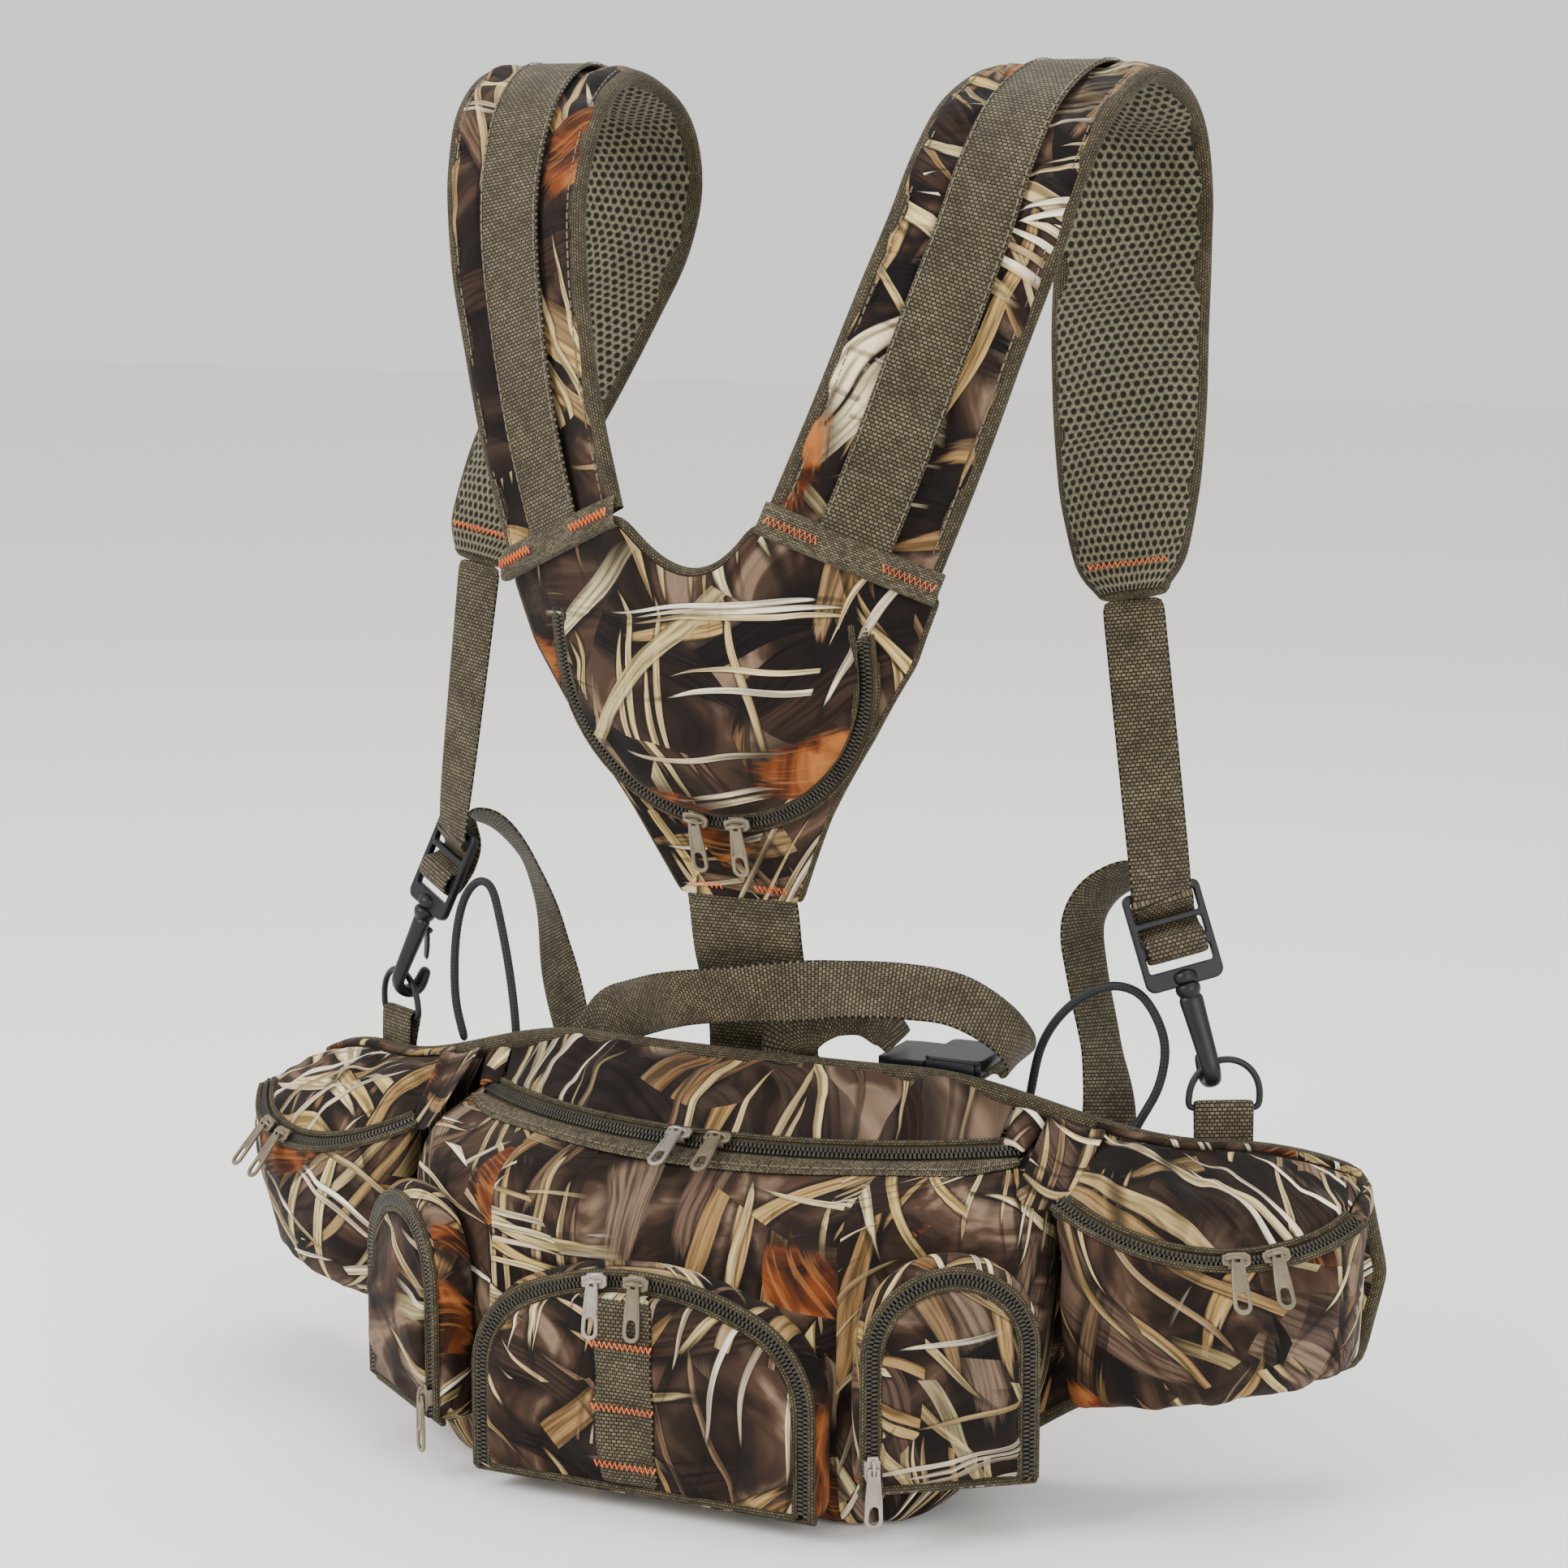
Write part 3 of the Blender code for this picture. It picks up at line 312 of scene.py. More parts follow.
# %% A woven tape
def woven_tape(name, float_mm, row_mm, yarns, gap, roughness, depth, lean=90):
    """Floats float_mm long in rows row_mm apart; lean turns them from across to along the tape."""
    material, tree, shader = new_material(
        name, roughness, IOR=1.53, Sheen_Weight=0.05, Sheen_Roughness=0.4, Specular_IOR_Level=0.18
    )
    tape = add(tree, "UVMap", out="UV")
    turned = add(
        tree, "Mapping",
        {"Vector": tape, "Rotation": (0, 0, math.radians(lean)), "Scale": (1000, 1000, 1000)}
    )
    weave = {
        "Vector": turned, "Color1": tint(yarns[0]), "Color2": tint(yarns[1]), "Mortar": tint(gap),
        "Scale": 1.0,
        "Mortar Size": 0.20 * row_mm, "Mortar Smooth": 0.6, "Brick Width": float_mm,
        "Row Height": row_mm,
    }
    colour = add(tree, "TexBrick", weave, "Color")
    sunk = add(tree, "TexBrick", weave, "Fac")
    wear = add(tree, "TexNoise", {"Vector": tape, "Scale": 60.0, "Detail": 3.0})
    worn = add(tree, "ValToRGB", {"Fac": wear}, stops=[(0.35, "#B9B4AC"), (0.65, "#FFFFFF")])
    colour = add(
        tree, "Mix", {0: 0.7, 6: colour, 7: worn}, 2, data_type="RGBA", blend_type="MULTIPLY"
    )
    tree.links.new(colour, shader.inputs["Base Color"])
    height = add(tree, "Math", {0: 1.0, 1: sunk}, operation="SUBTRACT")
    bump = add(tree, "Bump", {"Height": height, "Strength": 0.7, "Distance": depth})
    tree.links.new(bump, shader.inputs["Normal"])
    return material


# %% Webbing, grosgrain, binding and zip tape
# Real floats are 1.2 mm long and 0.6 mm apart; they are drawn about twice as coarse to show.
WEBBING = woven_tape(
    "woven_nylon_webbing_olive", 2.0, 1.5, ("#4D4530", "#6C6249"), "#100D08", 0.62, 0.0008, 0
)
GROSGRAIN = woven_tape(
    "ribbed_grosgrain_band_olive", 1.9, 0.95, ("#443D2C", "#736A52"), "#15110B", 0.70, 0.0006, 0
)
BINDING = woven_tape(
    "woven_edge_binding_olive", 1.5, 1.1, ("#413A28", "#5E553D"), "#17130C", 0.75, 0.0004
)
ZIP_TAPE = woven_tape(
    "woven_zip_tape_olive", 1.2, 0.8, ("#463F2B", "#544B35"), "#2E281B", 0.80, 0.0003
)
print("tapes", [m.name for m in (WEBBING, GROSGRAIN, BINDING, ZIP_TAPE)])

# %% [markdown]
# ## Air mesh
# The side against the wearer is a warp-knitted spacer mesh: a grid of open hexagons that lets air
# through. Two grids of round holes, the second shifted by half a step both ways, give the
# hexagonal order without a texture file. The holes are 4.2 mm apart, drawn a little wider than on
# real mesh.


# %% Air mesh
MESH_PITCH = 0.0042
MESH_HOLE = 0.0013


def spacer_mesh():
    """Two shifted grids of round holes; the yarn round them stands up."""
    material, tree, shader = new_material(
        "knitted_polyester_air_mesh", 0.88, Sheen_Weight=0.05, Specular_IOR_Level=0.15
    )
    knit = add(tree, "UVMap", out="UV")
    tall = MESH_PITCH * math.sqrt(3)
    holes = []
    for offset in (0.0, 0.5):
        grid = add(
            tree, "VectorMath", {0: knit, 1: (1 / MESH_PITCH, 1 / tall, 0), 2: (offset, offset, 0)},
            operation="MULTIPLY_ADD"
        )
        inside = add(tree, "VectorMath", {0: grid}, operation="FRACTION")
        centred = add(tree, "VectorMath", {0: inside, 1: (0.5, 0.5, 0)}, operation="SUBTRACT")
        metres = add(
            tree, "VectorMath", {0: centred, 1: (MESH_PITCH, tall, 0)}, operation="MULTIPLY"
        )
        holes.append(add(tree, "VectorMath", {0: metres}, "Value", operation="LENGTH"))
    near = add(tree, "Math", {0: holes[0], 1: holes[1]}, operation="MINIMUM")
    yarn = add(
        tree, "MapRange", {"Value": near, "From Min": MESH_HOLE * 0.8, "From Max": MESH_HOLE * 1.25}
    )
    fuzz = add(tree, "TexNoise", {"Vector": knit, "Scale": 900.0, "Detail": 2.0})
    shade = add(tree, "ValToRGB", {"Fac": fuzz}, stops=[(0.3, "#4A4737"), (0.7, "#78735C")])
    colour = add(tree, "Mix", {0: yarn, 6: tint("#1B1913"), 7: shade}, 2, data_type="RGBA")
    tree.links.new(colour, shader.inputs["Base Color"])
    bump = add(tree, "Bump", {"Height": yarn, "Strength": 0.9, "Distance": 0.0010})
    tree.links.new(bump, shader.inputs["Normal"])
    return material


AIR_MESH = spacer_mesh()
print("air mesh made")

# %% [markdown]
# ## Plastic, metal, cord and thread
# The hardware is moulded acetal: near black, a little blue, with a fine spark-eroded grain. Slider
# bodies are die-cast zinc under a coloured lacquer. The D-rings are steel wire with a powder coat,
# the tie loops braided elastic, and the reinforcing stitches are a bright orange polyester thread.


# %% Finishes whose grain follows the object's own coordinates
def grained(name, colours, roughness, grain, depth, metallic=0.0, **sockets):
    """A solid colour that drifts between two shades, with a fine grain in metres."""
    material, tree, shader = new_material(name, roughness, metallic, **sockets)
    place = add(tree, "TexCoord", out="Object")
    drift = add(tree, "TexNoise", {"Vector": place, "Scale": 90.0, "Detail": 4.0})
    colour = add(tree, "ValToRGB", {"Fac": drift}, stops=[(0.35, colours[0]), (0.65, colours[1])])
    tree.links.new(colour, shader.inputs["Base Color"])
    speck = add(tree, "TexNoise", {"Vector": place, "Scale": 1 / grain, "Detail": 2.0})
    rough = add(
        tree, "MapRange", {"Value": speck, "To Min": roughness - 0.08, "To Max": roughness + 0.08}
    )
    tree.links.new(rough, shader.inputs["Roughness"])
    bump = add(tree, "Bump", {"Height": speck, "Strength": 0.4, "Distance": depth})
    tree.links.new(bump, shader.inputs["Normal"])
    return material


ACETAL = grained(
    "moulded_black_acetal", ("#08090B", "#0F1013"), 0.42, 0.0009, 0.00010, IOR=1.48,
    Specular_IOR_Level=0.35
)
COIL = grained(
    "extruded_nylon_zip_coil", ("#1D1913", "#2D281D"), 0.40, 0.0012, 0.00008, IOR=1.53,
    Specular_IOR_Level=0.35
)
ZINC_GREY = grained(
    "lacquered_die_cast_zinc_grey", ("#8A8078", "#A0968E"), 0.34, 0.0015, 0.00006, 0.55
)
ZINC_OLIVE = grained(
    "lacquered_die_cast_zinc_olive", ("#6A604E", "#7E735E"), 0.36, 0.0015, 0.00006, 0.5
)
WIRE = grained(
    "powder_coated_steel_wire", ("#0A0B0C", "#131416"), 0.44, 0.0008, 0.00012,
    Specular_IOR_Level=0.35
)
THREAD = grained("orange_polyester_thread", ("#E0540E", "#F26E1C"), 0.55, 0.0006, 0.00015, IOR=1.54)
QUIET_THREAD = grained(
    "olive_polyester_thread", ("#4B4434", "#655D49"), 0.60, 0.0006, 0.00015, IOR=1.54
)
LINING = grained("coated_nylon_lining", ("#23201A", "#2E2A22"), 0.70, 0.0010, 0.00020, IOR=1.53)


def braided_elastic():
    """A braid of two yarn families at an angle, seen as small diamonds."""
    material, tree, shader = new_material(
        "braided_black_elastic", 0.66, IOR=1.53, Sheen_Weight=0.04, Specular_IOR_Level=0.3
    )
    place = add(tree, "UVMap", out="UV")
    lean = add(
        tree, "Mapping",
        {"Vector": place, "Rotation": (0, 0, math.radians(45)), "Scale": (900, 900, 900)}
    )
    braid = add(
        tree, "TexChecker",
        {"Vector": lean, "Color1": tint("#0C0C0D"), "Color2": tint("#222224"), "Scale": 1.0},
        "Color"
    )
    tree.links.new(braid, shader.inputs["Base Color"])
    knot = add(tree, "TexChecker", {"Vector": lean, "Scale": 1.0}, "Fac")
    bump = add(tree, "Bump", {"Height": knot, "Strength": 0.6, "Distance": 0.0003})
    tree.links.new(bump, shader.inputs["Normal"])
    return material


ELASTIC = braided_elastic()

# %% [markdown]
# ## Shapes: how cloth is cut here
# Every panel is a grid of points turned into a mesh with its UV map measured along the grid, so
# that the print and the weave come out in true size. Thickness, rounding and fill come afterwards,
# as they do at a sewing table: cut, sew, stuff.


# %% Small measures
def ease(u):
    u = min(max(u, 0.0), 1.0)
    return u * u * (3 - 2 * u)


def spread(count):
    """Numbers from -1 to 1."""
    return [2 * i / (count - 1) - 1 for i in range(count)]


def mirrored(point, side):
    return Vector((point[0] * side, point[1], point[2]))


def vectors(*rows):
    return [Vector(row) for row in rows]


def turned_out(degrees, side):
    """Across and out directions of a wall turned away from the back panel, on one side."""
    turn = math.radians(degrees)
    return Vector((math.cos(turn), side * math.sin(turn), 0)), Vector(
        (side * math.sin(turn), -math.cos(turn), 0)
    )


def oval(centre, one, other, count):
    """A ring of points round a centre, through both half axes."""
    turns = [math.tau * j / count for j in range(count)]
    return [centre + one * math.cos(a) + other * math.sin(a) for a in turns]


def patch(a, b, c, d, count, columns, rise):
    """Rows between two edges, a to b and c to d, bulging up by rise in their middle."""
    return [
        [a.lerp(b, s).lerp(c.lerp(d, s), t) + UP * (rise * math.sin(math.pi * t))
         for t in (k / (columns - 1) for k in range(columns))]
        for s in (k / (count - 1) for k in range(count))
    ]


def blended(values, u):
    """A value between listed ones, u from 0 to 1."""
    place = min(max(u, 0.0), 1.0) * (len(values) - 1)
    i = min(int(place), len(values) - 2)
    return values[i] + (values[i + 1] - values[i]) * (place - i)


def smooth_path(points, count):
    """Points spread by number along a Catmull-Rom curve through the given ones."""
    knots = [Vector(p) for p in points]
    knots = [2 * knots[0] - knots[1]] + knots + [2 * knots[-1] - knots[-2]]
    spans = len(points) - 1
    path = []
    for k in range(count):
        place = k / (count - 1) * spans
        i = min(int(place), spans - 1)
        t = place - i
        a, b, c, d = knots[i : i + 4]
        bend = (2 * a - 5 * b + 4 * c - d) * t**2
        twist = (3 * b - a - 3 * c + d) * t**3
        path.append(0.5 * (2 * b + (c - a) * t + bend + twist))
    return path


def running(points):
    """Distance from the first point to each one."""
    total = [0.0]
    for a, b in zip(points, points[1:]):
        total.append(total[-1] + (b - a).length)
    return total


def headings(path):
    """The direction of travel at each point."""
    last = len(path) - 1
    return [(path[min(k + 1, last)] - path[max(k - 1, 0)]).normalized() for k in range(len(path))]


def walk(path, step, others=()):
    """Even steps along a path: lists of points, and of the other lists blended alike."""
    far = running(path)
    count = max(2, round(far[-1] / step) + 1)
    lists = [[] for _ in range(1 + len(others))]
    i = 0
    for k in range(count):
        want = far[-1] * k / (count - 1)
        while i < len(far) - 2 and far[i + 1] < want:
            i += 1
        t = (want - far[i]) / max(far[i + 1] - far[i], 1e-9)
        for found, given in zip(lists, (path, *others)):
            found.append(given[i].lerp(given[i + 1], t))
    return lists


# %% Settle a piece: finish, body and the solid it stands for
def settle(name, mesh, finish, body, stands_for=()):
    mesh.materials.append(finish)
    obj = bpy.data.objects.new(name, mesh)
    bpy.context.scene.collection.objects.link(obj)
    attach(obj, body)
    if stands_for:
        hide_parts(*stands_for)
    return obj


def print_shift(name):
    """Each panel is cut from its own place on the roll."""
    return (sum(map(ord, name)) * 0.137 % 5, len(name) * 0.311 % 5)


# %% A panel of cloth through rows of points
def panel(
    name, rows, finish, body, stands_for=(), closed=False, floor=False, toward=None, levels=1,
    thick=0.0,
    offset=-1.0, chart=None, cut=None,
):
    """chart maps a point to cloth metres; cut gives a face centre its own shift on the roll."""
    bm = bmesh.new()
    made = [[bm.verts.new(p) for p in row] for row in rows]
    cloth = bm.loops.layers.uv.new("UVMap")
    count = len(rows[0])
    middle = list(rows[len(rows) // 2])
    wide = running(middle + middle[:1] if closed else middle)
    tall = running([row[count // 2] for row in rows])
    shift = print_shift(name)
    for i in range(len(rows) - 1):
        for j in range(count if closed else count - 1):
            n = (j + 1) % count
            face = bm.faces.new((made[i][j], made[i][n], made[i + 1][n], made[i + 1][j]))
            face.smooth = True
            spots = ((j, i), (j + 1, i), (j + 1, i + 1), (j, i + 1))
            more = cut(face.calc_center_median()) if cut else (0.0, 0.0)
            for loop, (a, b) in zip(face.loops, spots):
                u, v = chart(loop.vert.co) if chart else (wide[a], tall[b])
                loop[cloth].uv = (u + shift[0] + more[0], v + shift[1] + more[1])
    if floor:
        face = bm.faces.new(reversed(made[0]))
        for loop in face.loops:
            loop[cloth].uv = (loop.vert.co.x, loop.vert.co.y)
    bm.normal_update()
    centre = sum((v.co for v in bm.verts), Vector()) / len(bm.verts)
    facing = sum(
        f.calc_area() * f.normal.dot(toward if toward else f.calc_center_median() - centre)
        for f in bm.faces
    )
    if facing < 0:
        bmesh.ops.reverse_faces(bm, faces=bm.faces)
    mesh = bpy.data.meshes.new(name)
    bm.to_mesh(mesh)
    bm.free()
    obj = settle(name, mesh, finish, body, stands_for)
    if thick:
        shell = obj.modifiers.new("thickness", "SOLIDIFY")
        shell.thickness = thick
        shell.offset = offset
    if levels:
        rounded = obj.modifiers.new("rounding", "SUBSURF")
        rounded.levels = levels
        rounded.render_levels = levels
    return obj


def borders(rows, columns, closed=False):
    """Indices of a grid's sewn edge."""
    edge = set(range(columns)) | set(range((rows - 1) * columns, rows * columns))
    if not closed:
        edge |= {r * columns for r in range(rows)} | {
            r * columns + columns - 1 for r in range(rows)
        }
    return sorted(edge)


# %% Fill a panel by cloth simulation, and rumple it
FILL_FRAMES = 14


def fill(obj, seams, pressure=3.0, cap=0.006, slack=-0.03):
    """Blow a sewn panel out as cloth held at its seams; no point may move further than cap."""
    scene = bpy.context.scene
    kept = [(m.name, m.show_viewport) for m in obj.modifiers]
    for name, _ in kept:
        obj.modifiers[name].show_viewport = False
    held = obj.vertex_groups.new(name="seams")
    held.add(seams, 1.0, "REPLACE")
    cloth = obj.modifiers.new("fill", "CLOTH")
    cloth.settings.vertex_group_mass = held.name
    cloth.settings.use_pressure = True
    cloth.settings.uniform_pressure_force = pressure
    cloth.settings.shrink_min = slack
    cloth.settings.mass = 0.15
    cloth.settings.tension_stiffness = 25
    cloth.settings.compression_stiffness = 8
    cloth.settings.bending_stiffness = 0.15
    cloth.settings.effector_weights.gravity = 0
    cloth.settings.quality = 6
    cloth.point_cache.frame_start = 1
    cloth.point_cache.frame_end = FILL_FRAMES
    for step in range(1, FILL_FRAMES + 1):
        scene.frame_set(step)
    blown = obj.evaluated_get(bpy.context.evaluated_depsgraph_get()).to_mesh()
    spots = [v.co.copy() for v in blown.vertices]
    obj.modifiers.remove(cloth)
    obj.vertex_groups.remove(held)
    scene.frame_set(1)
    for vertex, spot in zip(obj.data.vertices, spots):
        move = spot - vertex.co
        if move.length > cap:
            move *= cap / move.length
        vertex.co += move
    for name, shown in kept:
        obj.modifiers[name].show_viewport = shown


def rumple(obj, size, depth, seams=()):
    """Soft folds with sharp valleys, none at the seams."""
    held = set(seams)
    ways = [v.normal.copy() for v in obj.data.vertices]
    for vertex, way in zip(obj.data.vertices, ways):
        if vertex.index not in held:
            spot = vertex.co / size
            fold = abs(noise.noise(spot)) + 0.5 * abs(noise.noise(spot * 2.3))
            vertex.co += way * depth * (0.8 - 2 * fold)


# %% Bands, tubes and plates
def band(name, path, across, widths, finish, body, stands_for=(), columns=5, thick=0.0013):
    """A flat tape along a path; across lists width directions, made square to the path."""
    ways = headings(path)
    rows = []
    for k, point in enumerate(path):
        u = k / (len(path) - 1)
        side = blended(across, u)
        side = (side - side.dot(ways[k]) * ways[k]).normalized()
        half = blended(widths, u) / 2
        rows.append([point + side * half * s for s in spread(columns)])
    return panel(name, rows, finish, body, stands_for, thick=thick, offset=0.0)


def tube_rows(path, radii, sides, first=None, squash=1.0):
    """Rings round a path that don't twist."""
    ways = headings(path)
    normal = first or ways[0].orthogonal()
    rows = []
    for k, (point, way) in enumerate(zip(path, ways)):
        normal = (normal - normal.dot(way) * way).normalized()
        other = way.cross(normal)
        radius = blended(radii, k / (len(path) - 1))
        rows.append(oval(point, normal * radius * squash, other * radius, sides))
    return rows


def tube(name, path, radii, finish, body, stands_for=(), sides=8, levels=0, first=None, squash=1.0):
    """A round piece along a path, its ends closed by rings that draw in."""
    ends = headings(path)
    radii = list(radii) if len(radii) > 1 else [radii[0], radii[0]]
    rows = tube_rows(path, radii, sides, first, squash)
    cap_in = [path[0] - ends[0] * radii[0] * 0.3 + (p - path[0]) * 0.05 for p in rows[0]]
    cap_out = [path[-1] + ends[-1] * radii[-1] * 0.3 + (p - path[-1]) * 0.05 for p in rows[-1]]
    return panel(
        name, [cap_in] + rows + [cap_out], finish, body, stands_for, closed=True, levels=levels
    )


def arc_points(x, y, radius, start, end, steps):
    """Points of an arc, angles in degrees."""
    angles = [math.radians(start + (end - start) * k / steps) for k in range(steps + 1)]
    return [(x + radius * math.cos(a), y + radius * math.sin(a)) for a in angles]


def rounded_outline(left, right, low, high, top, foot, steps):
    """A rectangle whose upper corners have the radius top and its lower ones the radius foot."""
    corners = (
        (right - top, high - top, top), (left + top, high - top, top),
        (left + foot, low + foot, foot),
        (right - foot, low + foot, foot),
    )
    outline = []
    for k, (x, y, radius) in enumerate(corners):
        outline += arc_points(x, y, radius, 90 * k, 90 * k + 90, steps)
    return outline


def plate(name, outlines, thick, finish, body, axes, at, stands_for=(), edge=0.0004):
    """A flat moulded or stamped piece: the first outline outside, the rest holes, edges rounded."""
    curve = bpy.data.curves.new(name, "CURVE")
    curve.dimensions = "2D"
    curve.fill_mode = "BOTH"
    curve.extrude = thick / 2 - edge
    curve.bevel_depth = edge
    curve.bevel_resolution = 2
    curve.offset = -edge
    for outline in outlines:
        spline = curve.splines.new("POLY")
        spline.points.add(len(outline) - 1)
        for slot, (x, y) in zip(spline.points, outline):
            slot.co = (x, y, 0, 1)
        spline.use_cyclic_u = True
    maker = bpy.data.objects.new(name + "_maker", curve)
    mesh = bpy.data.meshes.new_from_object(maker)
    mesh.name = name
    bpy.data.objects.remove(maker)
    across, along = axes
    turned = Matrix((across, along, across.cross(along))).transposed().to_4x4()
    mesh.transform(Matrix.Translation(at) @ turned)
    mesh.materials.clear()
    return settle(name, mesh, finish, body, stands_for)


def blocks(name, boxes, finish, body, edge=0.0):
    """Many small blocks in one mesh: each is (centre, three half-size vectors)."""
    corners = [(a, b, c) for a in (-1, 1) for b in (-1, 1) for c in (-1, 1)]
    faces = ((0, 1, 3, 2), (4, 6, 7, 5), (0, 4, 5, 1), (2, 3, 7, 6), (0, 2, 6, 4), (1, 5, 7, 3))
    points, quads = [], []
    for centre, x, y, z in boxes:
        start = len(points)
        points += [centre + x * a + y * b + z * c for a, b, c in corners]
        turned = x.cross(y).dot(z) < 0
        quads += [tuple(start + i for i in (reversed(face) if turned else face)) for face in faces]
    mesh = bpy.data.meshes.new(name)
    mesh.from_pydata(points, [], quads)
    obj = settle(name, mesh, finish, body)
    if edge:
        soft = obj.modifiers.new("soft_edges", "BEVEL")
        soft.width = edge
        soft.segments = 2
        for face in mesh.polygons:
            face.use_smooth = True
    return obj


# %% [markdown]
# ## Stitches
# A bartack is a dense zigzag that keeps a band from tearing off; here it is orange so that it can
# be found. An ordinary lockstitch shows as short dashes beside an edge. Both are real geometry: a
# thin thread for the zigzag and one small block for each dash, 3 mm long.


# %% Bartacks and lockstitch
BARTACK_STEP = 0.0011
STITCH_LENGTH = 0.0030
STITCH_GAP = 0.0012


def bartack(name, start, end, out, body, wide=0.0026):
    """Orange zigzag from start to end, standing on a surface whose normal is out."""
    run = end - start
    steps = max(8, round(run.length / BARTACK_STEP))
    rise = run.normalized().cross(out).normalized() * wide / 2
    path = [
        start + run * k / steps + rise * (1 if k % 2 else -1) + out * 0.0004
        for k in range(steps + 1)
    ]
    return tube(name, path, (0.00042,), THREAD, body, sides=5)


def lockstitch(name, path, normals, body, high=0.0002):
    """Dashes along a path; high lifts them off it."""
    boxes = []
    points, ups = walk(path, STITCH_LENGTH + STITCH_GAP, (normals,))
    ways = headings(points)
    for point, up, way in zip(points[:-1], ups, ways):
        up = up.normalized()
        side = way.cross(up).normalized()
        half = way * STITCH_LENGTH / 2
        boxes.append((point + half + up * high, half, side * 0.00028, up * 0.00022))
    return blocks(name, boxes, QUIET_THREAD, body)


# %% [markdown]
# ## Coil zips
# A coil zip is two woven tapes, each with a nylon spiral sewn to its edge; closed, the turns of
# one spiral sit between those of the other. Each half belongs to what it is sewn to: one to the
# pocket, the other to its lid, so that they part when the lid opens. A turn is drawn as one
# rounded bar across the row, every 1.8 mm, which is what shows of the spiral from outside.

# %% Zip measures
ZIP_HALF = 0.0033
COIL_PITCH = 0.0018


# %% Half a zip
def zip_half(name, path, normals, way, body, reach=0.0062, sink=0.0012):
    """Tape and coil on one side of the centre line; way is 1 or -1 for the side."""
    points, ups = walk(path, COIL_PITCH / 2, (normals,))
    ways = headings(points)
    coil, rows = [], []
    for k, (point, up, ahead) in enumerate(zip(points, ups, ways)):
        up = (up - up.dot(ahead) * ahead).normalized()
        side = ahead.cross(up) * way
        if k % 2 == (way > 0):
            middle = point + side * 0.0012 + up * 0.0009
            coil.append((middle, side * 0.0013, ahead * 0.00060, up * 0.00055))
        if k % 5 == 0 or k == len(points) - 1:
            rows.append([
                point + side * 0.0003,
                point + side * 0.0016,
                point + side * 0.0036,
                point + side * reach - up * sink,
            ])
    tape = panel(f"{name}_tape", rows, ZIP_TAPE, body, toward=ups[0], thick=0.0005)
    teeth = blocks(f"{name}_coil", coil, COIL, body, edge=0.0003)
    return tape, teeth

# %% [markdown]
# ## Main bag
# The big compartment is a lofted shell: wide at its curved zip, narrower at the base, with a seam
# at each front corner where the flat front meets the gussets. It is built from six outlines, one
# above the other, joined by smooth curves. Cloth simulation then fills it a little, and noise adds
# the soft folds of a bag that isn't full.

# %% Bag measures
BACK_HALF = 0.246
PAD = 0.0090
ARC_RADIUS = 0.191
ARC_FRONT = -0.005
ARC_MIDDLE_Y = ARC_FRONT + ARC_RADIUS
ZIP_Z = 0.138
MAIN_ZIP_FACE = Vector((0, -0.42, 0.91))  # the way the front tape of the main zip looks
FRONT_SEAM = 0.076
LEVELS = (
    (0.098, 0.000, -0.034, -0.020), (0.112, 0.010, -0.040, -0.016), (0.132, 0.040, -0.043, -0.003),
    (0.139, 0.095, -0.042, 0.004), (0.136, 0.124, -0.035, 0.008),
)  # half width, height, front and corner, metres


# %% The curves the bag is sewn to
def back_y(x):
    return 0.036 + 2.735 * abs(x) ** 2.6


def top_z(x):
    ends = 0.016 * max(0.0, (abs(x) - 0.19) / 0.055) ** 2
    return 0.166 - 0.025 * ease((abs(x) - 0.075) / 0.115) - ends


def bottom_z(x):
    ends = 0.008 * max(0.0, (abs(x) - 0.16) / 0.085)
    return 0.006 + 0.034 * ease((abs(x) - 0.085) / 0.075) + ends


def zip_arc_y(x, radius):
    return ARC_MIDDLE_Y - math.sqrt(radius**2 - x**2)


def bag_front_y(x, half, front, corner):
    if abs(x) <= FRONT_SEAM:
        return front + 0.002 * (x / FRONT_SEAM) ** 2
    return front + 0.002 + (corner - front - 0.002) * (abs(x) - FRONT_SEAM) / (half - FRONT_SEAM)


# %% The shell of the main bag
seam_at = [-0.082, -0.079, -0.076, -0.073, -0.070]
inner_columns = [-0.054, -0.040, -0.027, -0.013, 0.0]
BAG_BACK_COLUMNS = 15


def even_columns(half):
    """The same number of columns at every height."""
    outer = [half - (half - 0.084) * k / 6 for k in range(6)]
    left = [-x for x in outer] + seam_at + inner_columns
    return left + [-x for x in reversed(left[:-1])]


rings = []
for half, z, front, corner in LEVELS:
    ring = [Vector((x, bag_front_y(x, half, front, corner), z)) for x in even_columns(half)]
    ends = min(half + 0.002, 0.139)
    ring += [Vector((-u * ends, back_y(u * ends) - 0.0013, z)) for u in spread(BAG_BACK_COLUMNS)]
    rings.append(ring)
rim = [
    Vector((x, zip_arc_y(x, ARC_RADIUS + ZIP_HALF), ZIP_Z - 0.0026)) for x in even_columns(0.122)
]
rim += [
    Vector((-u * 0.125, back_y(u * 0.125) - 0.0013, top_z(u * 0.125) - 0.015))
    for u in spread(BAG_BACK_COLUMNS)
]
rings.append(rim)
BAG_ROWS = 19
bag_columns = [smooth_path([ring[j] for ring in rings], BAG_ROWS) for j in range(len(rim))]
bag_rows = [[column[i] for column in bag_columns] for i in range(BAG_ROWS)]
FRONT_COUNT = len(even_columns(0.122))


def bag_panels(centre):
    """Gussets and the front are separate cuts of cloth."""
    return (0.0, 0.0) if abs(centre.x) < FRONT_SEAM + 0.0015 else (0.7 + 0.4 * (centre.x > 0), 0.33)


